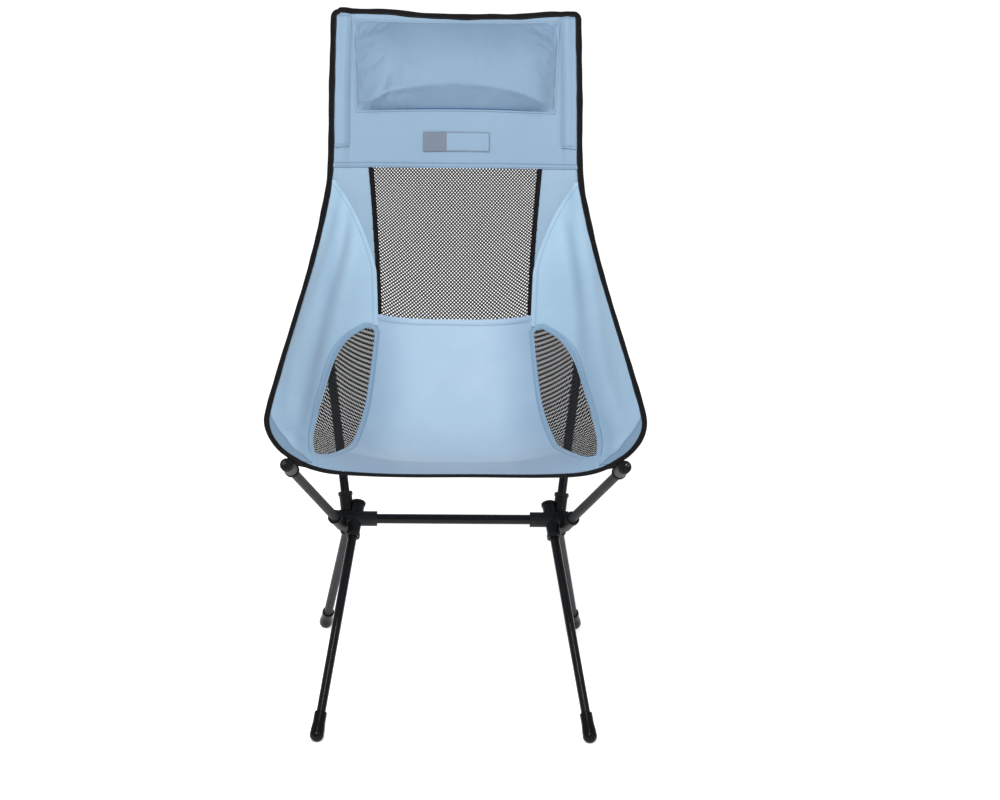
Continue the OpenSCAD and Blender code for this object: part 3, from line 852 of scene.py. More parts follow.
@dataclass
class Panel:
    """A sewn panel of the sling, given by its grids of v and u."""

    shape: SlingShape
    name: str
    vv: Array
    uu: Array
    lift: float = 0.0
    thickness: float = 0.0011
    hem: float = 0.0075
    hem_rise: float = 0.0007
    hems: tuple[bool, bool, bool, bool] = (False, False, False, False)
    # Painted shade added to the cloth's colour: 0 for none, 1 for the full shade colour.
    shade: Array | float = 0.0

    def build(self) -> bpy.types.Object:
        """The closed panel: folded hems stand proud by hem_rise within hem metres of the chosen edges.

        The hems are, in order, the low v, high v, left u and right u edges.

        Returns:
            The new object, with a per-vertex attribute of painted shade: a painted groove shade that is 1
            along the hem's inner line, plus the painted shade bands given in shade.
        """
        flat = self.shape.cloth(self.vv, self.uu)
        gaps = (flat[..., 1] - flat[:1, :, 1], flat[-1:, :, 1] - flat[..., 1],
                flat[..., 0] - flat[:, :1, 0], flat[:, -1:, 0] - flat[..., 0])
        # Painted shade kept per vertex: a darker line in the groove inside each hem, plus the painted shade
        # bands passed in as shade.
        rise, painted_shade = np.zeros_like(self.uu), np.zeros_like(self.uu)
        for wanted, gap in zip(self.hems, gaps):
            if wanted:
                rise = np.maximum(rise, self.hem_rise * (1 - smoothstep(self.hem * 0.9, self.hem * 1.1, gap)))
                painted_shade = np.maximum(painted_shade, bump(gap, self.hem * 1.08, 0.0011) * 0.8)
        painted_shade = np.clip(painted_shade + self.shade, 0.0, 1.0)
        middle = self.shape.place(self.vv, self.uu, self.lift)
        normal = self.shape.plain_normal(self.vv, self.uu)
        upper = middle + (self.thickness / 2 + rise)[..., None] * normal
        lower = middle - self.thickness / 2 * normal
        return closed_sheet(self.name, upper, lower, flat, {"painted_shade": painted_shade})

    def flat_size(self) -> tuple[tuple[float, float], float]:
        """The box and area of the flat cut, from the lengths along and across the sling."""
        grid = self.shape.plain(self.vv, self.uu)
        across = np.linalg.norm(np.diff(grid, axis=1), axis=2).sum(1)
        along = np.linalg.norm(np.diff(grid, axis=0), axis=2).sum(0)
        p = grid[1:, 1:] - grid[:-1, :-1]
        q = grid[1:, :-1] - grid[:-1, 1:]
        area = float(np.linalg.norm(np.cross(p, q), axis=2).sum() / 2)
        width, length = round(float(across.max()), 4), round(float(along.max()), 4)
        return (width, length), min(max(area, 0.31 * width * length), width * length)


def seam_run(shape: SlingShape, v: Array, u: Array, lift: float) -> tuple[Array, Array]:
    """Places and normals along a sewn line on the sling."""
    v, u = np.broadcast_arrays(np.asarray(v, float), np.asarray(u, float))
    return shape.place(v, u, lift), shape.plain_normal(v, u)


def outline_runs(corner_v: Array, corner_u: Array, count: int) -> tuple[Array, Array]:
    """The v and u round a closed outline, given as its four corners and the first again; count to a side."""
    at = np.linspace(0, 4, 4 * count + 1)[:-1]
    return np.interp(at, range(5), corner_v), np.interp(at, range(5), corner_u)


@dataclass
class Net:
    """Open mesh cloth: strands along the sides of diamonds, with a round hole in each diamond."""

    shape: SlingShape
    name: str
    pitch_x: float = 0.00526
    pitch_y: float = 0.0056
    hole_x: float = 0.215
    hole_y: float = 0.215
    slant: float = 0.0
    thickness: float = 0.0009

    def build(self, v_low: float, v_high: float, inner: Outline, outer: Outline,
              width: float) -> tuple[bpy.types.Object, tuple[float, float], float]:
        """Lays diamonds over the region and keeps those inside it.

        Corner (i, j) lies at (i * pitch_x / 2, j * pitch_y / 2) on the flat cloth, and a diamond is
        centred on each corner whose i + j is odd. A hole is an octagon whose radii are the shares hole_x
        and hole_y of the pitches. Rows climb by slant metres for each metre outwards.

        Args:
            v_low: Lowest v of the region.
            v_high: Highest v.
            inner: Function of v giving the lowest u.
            outer: Function of v giving the highest u.
            width: Metres across for one unit of u.

        Returns:
            The new object, closed, with front and back strands meeting at the rim of each hole, and
            the flat cut's box and area.
        """
        shape = self.shape
        run_low, run_high = float(shape.run(np.array(v_low))), float(shape.run(np.array(v_high)))
        i_low = int(min(inner(np.linspace(v_low, v_high, 50))) * width / self.pitch_x * 2) - 2
        i_high = int(max(outer(np.linspace(v_low, v_high, 50))) * width / self.pitch_x * 2) + 2
        j_high = int((run_high - run_low) / self.pitch_y * 2) + 1
        climb = int(abs(self.slant) * 0.25 * width / self.pitch_y * 2)
        i, j = np.meshgrid(np.arange(i_low, i_high), np.arange(-climb, j_high + climb), indexing="ij")
        i, j = i[(i + j) % 2 != 0], j[(i + j) % 2 != 0]

        def spot(a: Array, b: Array) -> tuple[Array, Array]:
            """The v and u of lattice points."""
            across = a * self.pitch_x / 2
            rise = self.slant * (np.abs(across) - 0.68 * width)
            return shape.v_at(run_low + b * self.pitch_y / 2 + rise), across / width

        v, u = spot(i, j)
        keep = (u > inner(v)) & (u < outer(v)) & (v < v_high) & (v > v_low)
        i, j = i[keep], j[keep]
        steps = np.array([[1, 0], [0, 1], [-1, 0], [0, -1]])
        keys = (np.stack([i, j], 1)[:, None] + steps[None]).reshape(-1, 2)
        lattice, corner = np.unique(keys, axis=0, return_inverse=True)
        corner = corner.reshape(-1, 4)
        angle = np.arange(8) * math.pi / 4
        ring_i = i[:, None] + 2 * self.hole_x * np.cos(angle)[None]
        ring_j = j[:, None] + 2 * self.hole_y * np.sin(angle)[None]

        def lay(a: Array, b: Array, lift: float) -> Array:
            """Places of lattice points on the sling."""
            return shape.place(*spot(a, b), lift)

        n_corner, n_cell = len(lattice), len(i)
        front = lay(lattice[:, 0], lattice[:, 1], self.thickness / 2)
        back = lay(lattice[:, 0], lattice[:, 1], -self.thickness / 2)
        rims = lay(ring_i.ravel(), ring_j.ravel(), 0.0)
        points = np.concatenate([front, back, rims])
        rim = (2 * n_corner + np.arange(n_cell * 8)).reshape(-1, 8)
        triangles = []
        for k in range(4):
            a, b = corner[:, k], corner[:, (k + 1) % 4]
            r0, r1, r2 = rim[:, 2 * k], rim[:, 2 * k + 1], rim[:, (2 * k + 2) % 8]
            for p, q, r in ((a, r1, r0), (a, b, r1), (b, r2, r1)):
                triangles.append(np.stack([p, q, r], 1))
        top = np.concatenate(triangles)
        under = np.where(top < n_corner, top + n_corner, top)[:, ::-1]
        sides = np.concatenate([np.stack([corner[:, k], corner[:, (k + 1) % 4]], 1) for k in range(4)])
        code = sides.min(1) * n_corner + sides.max(1)
        _, first, count = np.unique(code, return_index=True, return_counts=True)
        edge = sides[first[count == 1]]
        walls = np.stack([edge[:, 0], edge[:, 0] + n_corner, edge[:, 1] + n_corner, edge[:, 1]], 1)
        every = np.concatenate([lattice, lattice, np.stack([ring_i.ravel(), ring_j.ravel()], 1)])
        uv = every * np.array([self.pitch_x / 2, self.pitch_y / 2])
        piece = mesh_piece(self.name, points, [top, under, walls], uv, {"painted_shade": np.zeros(len(points))})
        spans = [round(float(np.ptp(uv[:, k])), 4) for k in range(2)]
        whole = spans[0] * spans[1]
        area = float(np.clip(n_cell * self.pitch_x * self.pitch_y / 2, 0.31 * whole, whole))
        return piece, (spans[0], spans[1]), area


# ------------------------------------------------------------------ the sling's pieces


@dataclass
class Sling:
    """All the sewn pieces that hang from the four tips."""

    shape: SlingShape
    finishes: Finishes

    def sheet(self, piece: bpy.types.Object, flat: tuple[float, float], area: float, node: str) -> None:
        """Hides the CAD node that a piece of cloth stands for."""
        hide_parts(node)

    def make(self, panel: Panel, node: str, material: bpy.types.Material) -> bpy.types.Object:
        """Builds and dresses one panel, and hides the CAD node it stands for."""
        piece = dress(panel.build(), material)
        self.sheet(piece, *panel.flat_size(), node)
        return piece

    def seat(self) -> None:
        """Seat panel: full width in front, narrowing between the side windows, hemmed at the mesh."""
        s = self.shape
        v = np.concatenate([np.linspace(0.02, 0.5, 34)[:-1], np.linspace(0.5, s.mesh_low_v + 0.05, 150)])
        half = np.minimum.reduce([s.reach(v) * 0.995, s.window_inner(np.maximum(v, s.window_low_v)),
                                  np.where(v < 3.8, 2.0, s.mesh_side(v))])
        vv, uu = ruled(v, -half, half, 130)
        vv = vv - 0.09 * (uu / 0.54) ** 2 * smoothstep(2.9, s.mesh_low_v, vv)
        # Painted shade: a darker band along the front of the seat and darker sides towards the wings.
        front = 0.55 * (1 - smoothstep(0.98, 1.16, vv)) + 0.2 * (1 - smoothstep(0.3, 1.6, vv))
        shade = front + 0.5 * smoothstep(0.25, 0.55, np.abs(uu))
        panel = Panel(s, "seat_cloth_painted_lit", vv, uu, lift=0.0005, hems=(False, True, False, False), shade=shade)
        self.make(panel, "seat_panel", self.finishes.seat)

    def wing_outline(self, v: Array) -> Array:
        """Inner edge of a wing: the seat, then the window, the mesh and the shoulder seam."""
        s = self.shape
        inner = np.where(v < s.window_top_v, s.window_outer(v), s.mesh_side(v))
        inner = np.where(v > s.seam_low_v, s.shoulder_painted_shade(v), inner)
        return np.where(v <= s.window_low_v, s.window_toe_u, inner)

    def wings(self) -> None:
        """The two wings, from the front corners up to the poles."""
        s = self.shape
        v = np.concatenate([np.linspace(0.14, 1.2, 60)[:-1], np.linspace(1.2, s.seam_top_v + 0.05, 150)])
        inner = self.wing_outline(v)
        outer = np.maximum(s.reach(v) * 0.995, inner + 0.004)
        for side in Side:
            vv, uu = ruled(v, *side.span(inner, outer), 80)
            # Painted shade: darker towards the front of each wing, a darker band along a fold near the edge,
            # and the seat's darker front band carried onto the wing near the corner.
            shade = 0.4 * (1 - smoothstep(1.0, 3.4, vv)) + 0.35 * bump(np.abs(uu), 0.80 + 0.02 * vv, 0.035)
            shade = shade + 0.5 * (1 - smoothstep(0.4, 0.9, vv)) * (1 - smoothstep(0.72, 0.8, np.abs(uu)))
            panel = Panel(s, f"wing_cloth_{side.word}", vv, uu, hem=0.0062, shade=shade,
                          hems=(False, False, side is Side.RIGHT, side is Side.LEFT))
            self.make(panel, f"wing_{side.word}", self.finishes.wing)

    def shoulders(self) -> None:
        """The panels between the back mesh and the wings, under the head panel."""
        s = self.shape
        v = np.linspace(s.seam_low_v + 0.03, s.hem_v + 0.1, 70)
        inner = s.mesh_side(v)
        outer = np.where(v < s.seam_top_v, s.shoulder_painted_shade(v) + 0.03, 0.995)
        outer = np.minimum(np.maximum(outer, inner + 0.006), 0.995)
        for side in Side:
            grids = ruled(v, *side.span(inner, outer), 50)
            panel = Panel(s, f"shoulder_cloth_{side.word}", *grids, lift=-0.0009)
            self.make(panel, f"shoulder_{side.word}", self.finishes.shoulder)

    def head(self) -> None:
        """Head panel, hemmed along its lower edge and sagging a little at the top."""
        s = self.shape
        u = -0.99 + 1.98 * pinched(150, 0.5)
        t = np.concatenate([np.linspace(0.0, 0.1, 24)[:-1], np.linspace(0.1, 1.0, 110)])[:, None]
        vv = s.hem(u) * (1 - t) + (s.top(u) - 0.015) * t
        uu = np.broadcast_to(u, vv.shape)
        panel = Panel(s, "head_cloth", vv, uu * 0.995, lift=0.0005, hem_rise=0.0005,
                      hems=(True, False, False, False))
        self.make(panel, "head_panel", self.finishes.sling)

    def sleeve_strips(self) -> None:
        """Strips sewn down both sides of the head panel, over the ends of the poles."""
        s = self.shape
        rows = 90
        v = np.linspace(s.strip_low_v, 7.965, rows)
        for side in Side:
            low, high = side.span(0.857, 0.972)
            vv, uu = ruled(v, np.full(rows, low), np.full(rows, high), 30)
            panel = Panel(s, f"sleeve_strip_{side.word}", vv, uu, lift=0.0022, hem=0.004, hem_rise=0.0005,
                          hems=(True, False, side is Side.RIGHT, side is Side.LEFT))
            piece = dress(panel.build(), self.finishes.sling)
            flat, area = panel.flat_size()

    def label(self) -> None:
        """Plain two-tone patch under the pillow, with a thin printed frame."""
        s = self.shape
        rows = 20
        low_v, high_v, left_u, right_u, split_u, margin_v = 6.2, 6.452, -0.262, 0.278, -0.072, 0.01
        v = np.linspace(low_v, high_v, rows)
        parts = (("label_cloth", right_u, 0.0022, self.finishes.sling),
                 ("label_block", split_u, 0.0026, self.finishes.label))
        for name, end_u, lift, material in parts:
            grids = ruled(v, np.full(rows, left_u), np.full(rows, end_u), 30)
            panel = Panel(s, name, *grids, lift=lift, thickness=0.0006)
            piece = dress(panel.build(), material)
            flat, area = panel.flat_size()
            if name == "label_cloth":
                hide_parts("label_patch")
        corner_v = np.array([low_v, high_v, high_v, low_v, low_v]) + margin_v * np.array([1, -1, -1, 1, 1])
        corner_u = np.array([-0.255, -0.255, 0.272, 0.272, -0.255])
        line, normal = seam_run(s, *outline_runs(corner_v, corner_u, 40), 0.0026)
        frame_line = swept("label_frame", line, across_path(line, normal, True), normal,
                           oval(0.0009, 0.0005, 8), True)
        dress(frame_line, self.finishes.label)

    def window_hems(self) -> None:
        """Folded strips sewn round both side windows."""
        s = self.shape
        up = s.window_rows(s.window_top_v, 120)
        down = up[::-1][1:]
        v = np.concatenate([up, down])
        v = v + np.where(v < 0.7, -0.03, 0.0)
        u = np.concatenate([s.window_outer(up) + 0.013, s.window_inner(down) - 0.013])
        for side in Side:
            line, normal = seam_run(s, v, side.value * u, 0.0011)
            kernel = np.ones(5) / 5
            wide = np.concatenate([line[-2:], line, line[:2]])
            line = np.stack([np.convolve(wide[:, k], kernel, "valid") for k in range(3)], 1)
            piece = swept(f"window_hem_{side.word}", line, across_path(line, normal, True), normal,
                          oval(0.0078, 0.0013, 12, 0.5), True)
            dress(piece, self.finishes.trim)

    def patches(self) -> None:
        """Reinforcements sewn over the front corners, cut off along a diagonal."""
        s = self.shape
        v = np.linspace(0.22, 1.16, 60)
        inner = np.minimum(0.774 + 0.236 * (v - 0.245), s.reach(v) * 0.985)
        outer = np.maximum(s.reach(v) * 0.99, inner + 0.003)
        for side in Side:
            grids = ruled(v, *side.span(inner, outer), 30)
            panel = Panel(s, f"corner_cloth_{side.word}", *grids, lift=0.0013, thickness=0.0008, hem=0.003,
                          hem_rise=0.0004, hems=(False, False, side is Side.RIGHT, side is Side.LEFT))
            self.make(panel, f"corner_patch_{side.word}", self.finishes.patch)

    def meshes(self) -> None:
        """Back mesh and the two side windows."""
        s = self.shape
        back, flat, area = Net(s, "back_net").build(
            s.mesh_low_v - 0.1, s.hem_v + 0.08, lambda v: -s.mesh_side(v), s.mesh_side, 0.2)
        dress(back, self.finishes.net)
        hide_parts("back_mesh")
        for side in Side:
            sign = side.value

            def low(v: Array, sign: float = sign) -> Array:
                """Lower u bound of the window on this side."""
                return s.window_inner(v) - 0.02 if sign > 0 else -s.window_outer(v) - 0.02

            def high(v: Array, sign: float = sign) -> Array:
                """Upper u bound of the window on this side."""
                return s.window_outer(v) + 0.02 if sign > 0 else -s.window_inner(v) + 0.02

            net, flat, area = Net(s, f"side_net_{side.word}", 0.0095, 0.0078, 0.33, 0.062, 0.6).build(
                s.window_low_v, s.window_top_v + 0.06, low, high, 0.26)
            dress(net, self.finishes.net)
            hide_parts(f"side_mesh_{side.word}")

    def mesh_tapes(self) -> None:
        """Black tapes over the sides of the back mesh."""
        s = self.shape
        v = np.linspace(s.mesh_low_v - 0.03, s.hem_v + 0.03, 90)
        for side in Side:
            u = side.value * (s.mesh_side(v) - 0.012)
            centre = s.place(v, u, 0.0006)
            normal = s.plain_normal(v, u)
            piece = swept(f"mesh_tape_cloth_{side.word}", centre, across_path(centre, normal), normal,
                          oval(0.0078, 0.0016))
            dress(piece, self.finishes.tape)
            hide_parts(f"mesh_tape_{side.word}")

    def outline(self) -> tuple[Array, Array]:
        """The v and u of the sling's edge, all the way round, with small rounds at the top corners."""
        s = self.shape
        u_front = 1 - s.corner_u
        turn = np.linspace(math.pi / 2, 0.0, 40)[1:-1]
        round_v, round_u = 0.07, 0.035
        straight_v = s.top(np.array(1.0)) - round_v
        top_turn = np.linspace(0.0, math.pi / 2, 8)
        v_side = np.concatenate([s.corner_v * (1 - np.sin(turn)), np.linspace(s.corner_v, straight_v, 170)])
        u_side = s.reach(v_side)
        v_top = straight_v + round_v * np.sin(top_turn[1:])
        u_top = 1 - round_u + round_u * np.cos(top_turn[1:])
        front = np.linspace(-u_front, u_front, 80)
        top = np.linspace(1 - round_u, -1 + round_u, 100)[1:-1]
        right_v, right_u = np.concatenate([v_side, v_top]), np.concatenate([u_side, u_top])
        v = np.concatenate([np.zeros_like(front), right_v, s.top(top), right_v[::-1]])
        u = np.concatenate([front, right_u, top, -right_u[::-1]])
        return v, u

    def binding(self) -> None:
        """Edge binding: a folded tape, swept round the whole outline, slightly wavy in width."""
        s = self.shape
        v, u = self.outline()
        centre = s.place(v, u, 0.0)
        normal = s.plain_normal(v, u)
        ahead = unit(np.roll(centre, -1, axis=0) - np.roll(centre, 1, axis=0))
        outward = unit(np.cross(ahead, normal))
        normal = np.cross(outward, ahead)
        along = lengths_along(centre)
        wave = 1 + 0.05 * np.sin(along * 61.0) + 0.04 * np.sin(along * 143.0 + 1.0)
        profile = oval(0.0096, 0.0044, 14, 0.8)[None] * np.stack([wave, np.ones_like(wave)], 1)[:, None]
        piece = swept("edge_binding_tape", centre, outward, normal, profile, True)
        dress(piece, self.finishes.tape)
        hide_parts("edge_binding")
        runs = [(centre - 0.0029 * outward + 0.00205 * normal, normal)]
        sew("binding_stitches", runs, self.finishes.dark_thread)

    def stitches(self) -> None:
        """Double rows on the shoulder seams, the hems, the windows and the head panel."""
        s = self.shape
        runs = []
        for sign in (side.value for side in Side):
            v = np.linspace(s.seam_low_v - 0.2, s.seam_top_v, 120)
            for shift in (0.008, 0.024):
                runs.append(seam_run(s, v, sign * (s.shoulder_painted_shade(v) + shift), 0.0006))
            v = s.window_rows(s.window_top_v - 0.01, 160)
            for shift in (0.020, 0.027):
                runs.append(seam_run(s, v, sign * (s.window_outer(v) + shift), 0.0014))
                runs.append(seam_run(s, v, sign * (s.window_inner(v) - shift), 0.0014))
            v = np.linspace(s.strip_low_v + 0.02, 7.9, 120)
            runs.append(seam_run(s, v, sign * 0.868, 0.0034))
            across = sign * np.linspace(0.865, 0.965, 20)
            runs.append(seam_run(s, np.full(20, s.strip_low_v + 0.025), across, 0.0034))
            v = np.linspace(0.3, 1.1, 60)
            runs.append(seam_run(s, v, sign * np.minimum(0.782 + 0.236 * (v - 0.245), 0.97), 0.0021))
        wide = np.linspace(-0.97, 0.97, 200)
        for shift in (0.018, 0.062):
            runs.append(seam_run(s, s.hem(wide) + shift, wide, 0.0022))
        low = np.linspace(-0.53, 0.53, 140)
        runs.append(seam_run(s, s.mesh_low_v - 0.012 - 0.09 * (low / 0.54) ** 2, low, 0.0018))
        sew("sling_stitches", runs, self.finishes.thread)

    def build(self) -> None:
        """Makes every piece of the sling."""
        for make in (self.seat, self.wings, self.shoulders, self.head, self.sleeve_strips, self.label,
                     self.meshes, self.window_hems, self.mesh_tapes, self.patches, self.binding,
                     self.stitches):
            make()
        LOG.info("sling made")


# ------------------------------------------------------------------ pillow


@dataclass
class Pillow:
    """Stuffed head pillow: a cover sewn to the head panel on all sides, filled and creased."""

    shape: SlingShape
    finishes: Finishes
    low_v: float = 6.74
    high_v: float = 7.905
    low_u: float = 0.795
    high_u: float = 0.835
    crown: float = 0.031
    rows: int = 46
    columns: int = 92
    frames: int = 18

    def grids(self) -> tuple[Array, Array, Array, Array]:
        """Grids of v, u, and the two parameters from -1 to 1 up and across the cover."""
        up, across = 2 * pinched(self.rows, 0.25) - 1, 2 * pinched(self.columns, 0.25) - 1
        k, l = np.meshgrid(up, across, indexing="ij")
        v = self.low_v + (self.high_v - self.low_v) * (k + 1) / 2
        u = l * (self.low_u + (self.high_u - self.low_u) * (k + 1) / 2)
        return v, u, k, l

    def dome(self, k: Array, l: Array) -> Array:
        """Height of the stuffing: steep below, up to a ridge that arches across, then falling gently."""
        up = (k + 1) / 2
        ridge = 0.09 + 0.17 * np.clip(1 - (l / 0.86) ** 2, 0, 1)
        below = np.clip(up / ridge, 0, 1) ** 1.1
        above = 1 - 0.96 * np.clip((up - ridge) / (1 - ridge), 0, 1) ** 1.7
        sides = np.clip((1 - np.abs(l)) / (0.3 + 0.1 * up), 0, 1)
        return np.minimum(below, above) * np.sin(0.5 * np.pi * sides) ** 0.7

    def settle(self, body: bpy.types.Object, pinned: Array) -> Array:
        """Fills the cover by a cloth simulation with its sewn edge and its back held.

        Args:
            body: The closed starting shape.
            pinned: Indices of the vertices that stay in place.

        Returns:
            The places of the vertices after the simulation.
        """
        group = body.vertex_groups.new(name="sewn")
        group.add([int(i) for i in pinned], 1.0, "REPLACE")
        cloth = body.modifiers.new("fill", "CLOTH")
        setup = cloth.settings
        setup.quality = 6
        setup.mass = 0.12
        setup.tension_stiffness = setup.compression_stiffness = 18.0
        setup.shear_stiffness = 6.0
        setup.bending_stiffness = 0.08
        setup.vertex_group_mass = "sewn"
        setup.pin_stiffness = 1.0
        setup.use_pressure = True
        setup.uniform_pressure_force = 3.0
        setup.shrink_min = -0.035
        setup.effector_weights.gravity = 0.0
        cloth.point_cache.frame_start, cloth.point_cache.frame_end = 1, self.frames
        scene = bpy.context.scene
        for number in range(1, self.frames + 1):
            scene.frame_set(number)
        solved = body.evaluated_get(bpy.context.evaluated_depsgraph_get()).to_mesh()
        places = np.empty(len(solved.vertices) * 3, np.float32)
        solved.vertices.foreach_get("co", places)
        body.modifiers.remove(cloth)
        scene.frame_set(1)
        return places.reshape(-1, 3).astype(float)

    def build(self) -> None:
        """Makes the filled cover, its sewn border and its stitches."""
        s = self.shape
        v, u, k, l = self.grids()
        lift = 0.0022
        start = s.place(v, u, lift + self.crown * self.dome(k, l))
        back = s.place(v, u, lift - 0.0006)
        uv = s.cloth(v, u)
        body = closed_sheet("pillow_start", start, back, uv)
        half = self.rows * self.columns
        grid = np.arange(half).reshape(self.rows, self.columns)
        edge = np.concatenate([grid[0], grid[-1], grid[1:-1, 0], grid[1:-1, -1]])
        places = self.settle(body, np.concatenate([edge, half + np.arange(half)]))
        moved = places[:half].reshape(*k.shape, 3)
        step = moved - start
        size = np.linalg.norm(step, axis=-1, keepdims=True)
        loose = 0.25 + 0.75 * smoothstep(0.45, 0.8, np.abs(l - 0.1))[..., None]
        moved = start + loose * step * np.minimum(1.0, 0.012 / np.maximum(size, 1e-9))
        bpy.data.objects.remove(body)
        # Painted shade: a dark line in the crease along the bottom edge and a darker upper part of the cover.
        painted_crease_shade = bump((k + 1) / 2, 0.02, 0.02) * (np.abs(l) < 0.86)
        painted_top_shade = 0.55 * smoothstep(0.45, 0.95, (k + 1) / 2)
        painted_shade = np.clip(0.8 * painted_crease_shade + painted_top_shade, 0, 1)
        cover = closed_sheet("pillow_cover_cloth", moved, back, uv, {"painted_shade": painted_shade})
        finer = cover.modifiers.new("finer", "SUBSURF")
        finer.levels = finer.render_levels = 1
        dress(cover, self.finishes.pillow)
        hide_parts("pillow_cover", "pillow_fill")
        self.border()

    def border(self) -> None:
        """Flat border round the pillow, with its stitch line, and the shadowed slit along the bottom."""
        s = self.shape
        corner_v = np.array([self.low_v, self.high_v, self.high_v, self.low_v, self.low_v])
        corner_u = np.array([-self.low_u, -self.high_u, self.high_u, self.low_u, -self.low_u])
        line, normal = seam_run(s, *outline_runs(corner_v, corner_u, 120), 0.0019)
        rim = swept("pillow_border", line, across_path(line, normal, True), normal,
                    oval(0.0052, 0.0013, 10, 0.6), True)
        dress(rim, self.finishes.sling)
        sew("pillow_stitches", [(line + 0.0007 * normal, normal)], self.finishes.thread,
            Stitching(width=0.0005))
        u = np.linspace(-0.66, 0.62, 90)
        line, normal = seam_run(s, self.low_v + 0.012, u, 0.0032)
        slit = swept("pillow_slit", line, across_path(line, normal), normal, oval(0.0022, 0.0014, 8))
        dress(slit, self.finishes.slit)


# ------------------------------------------------------------------ corners and sleeves


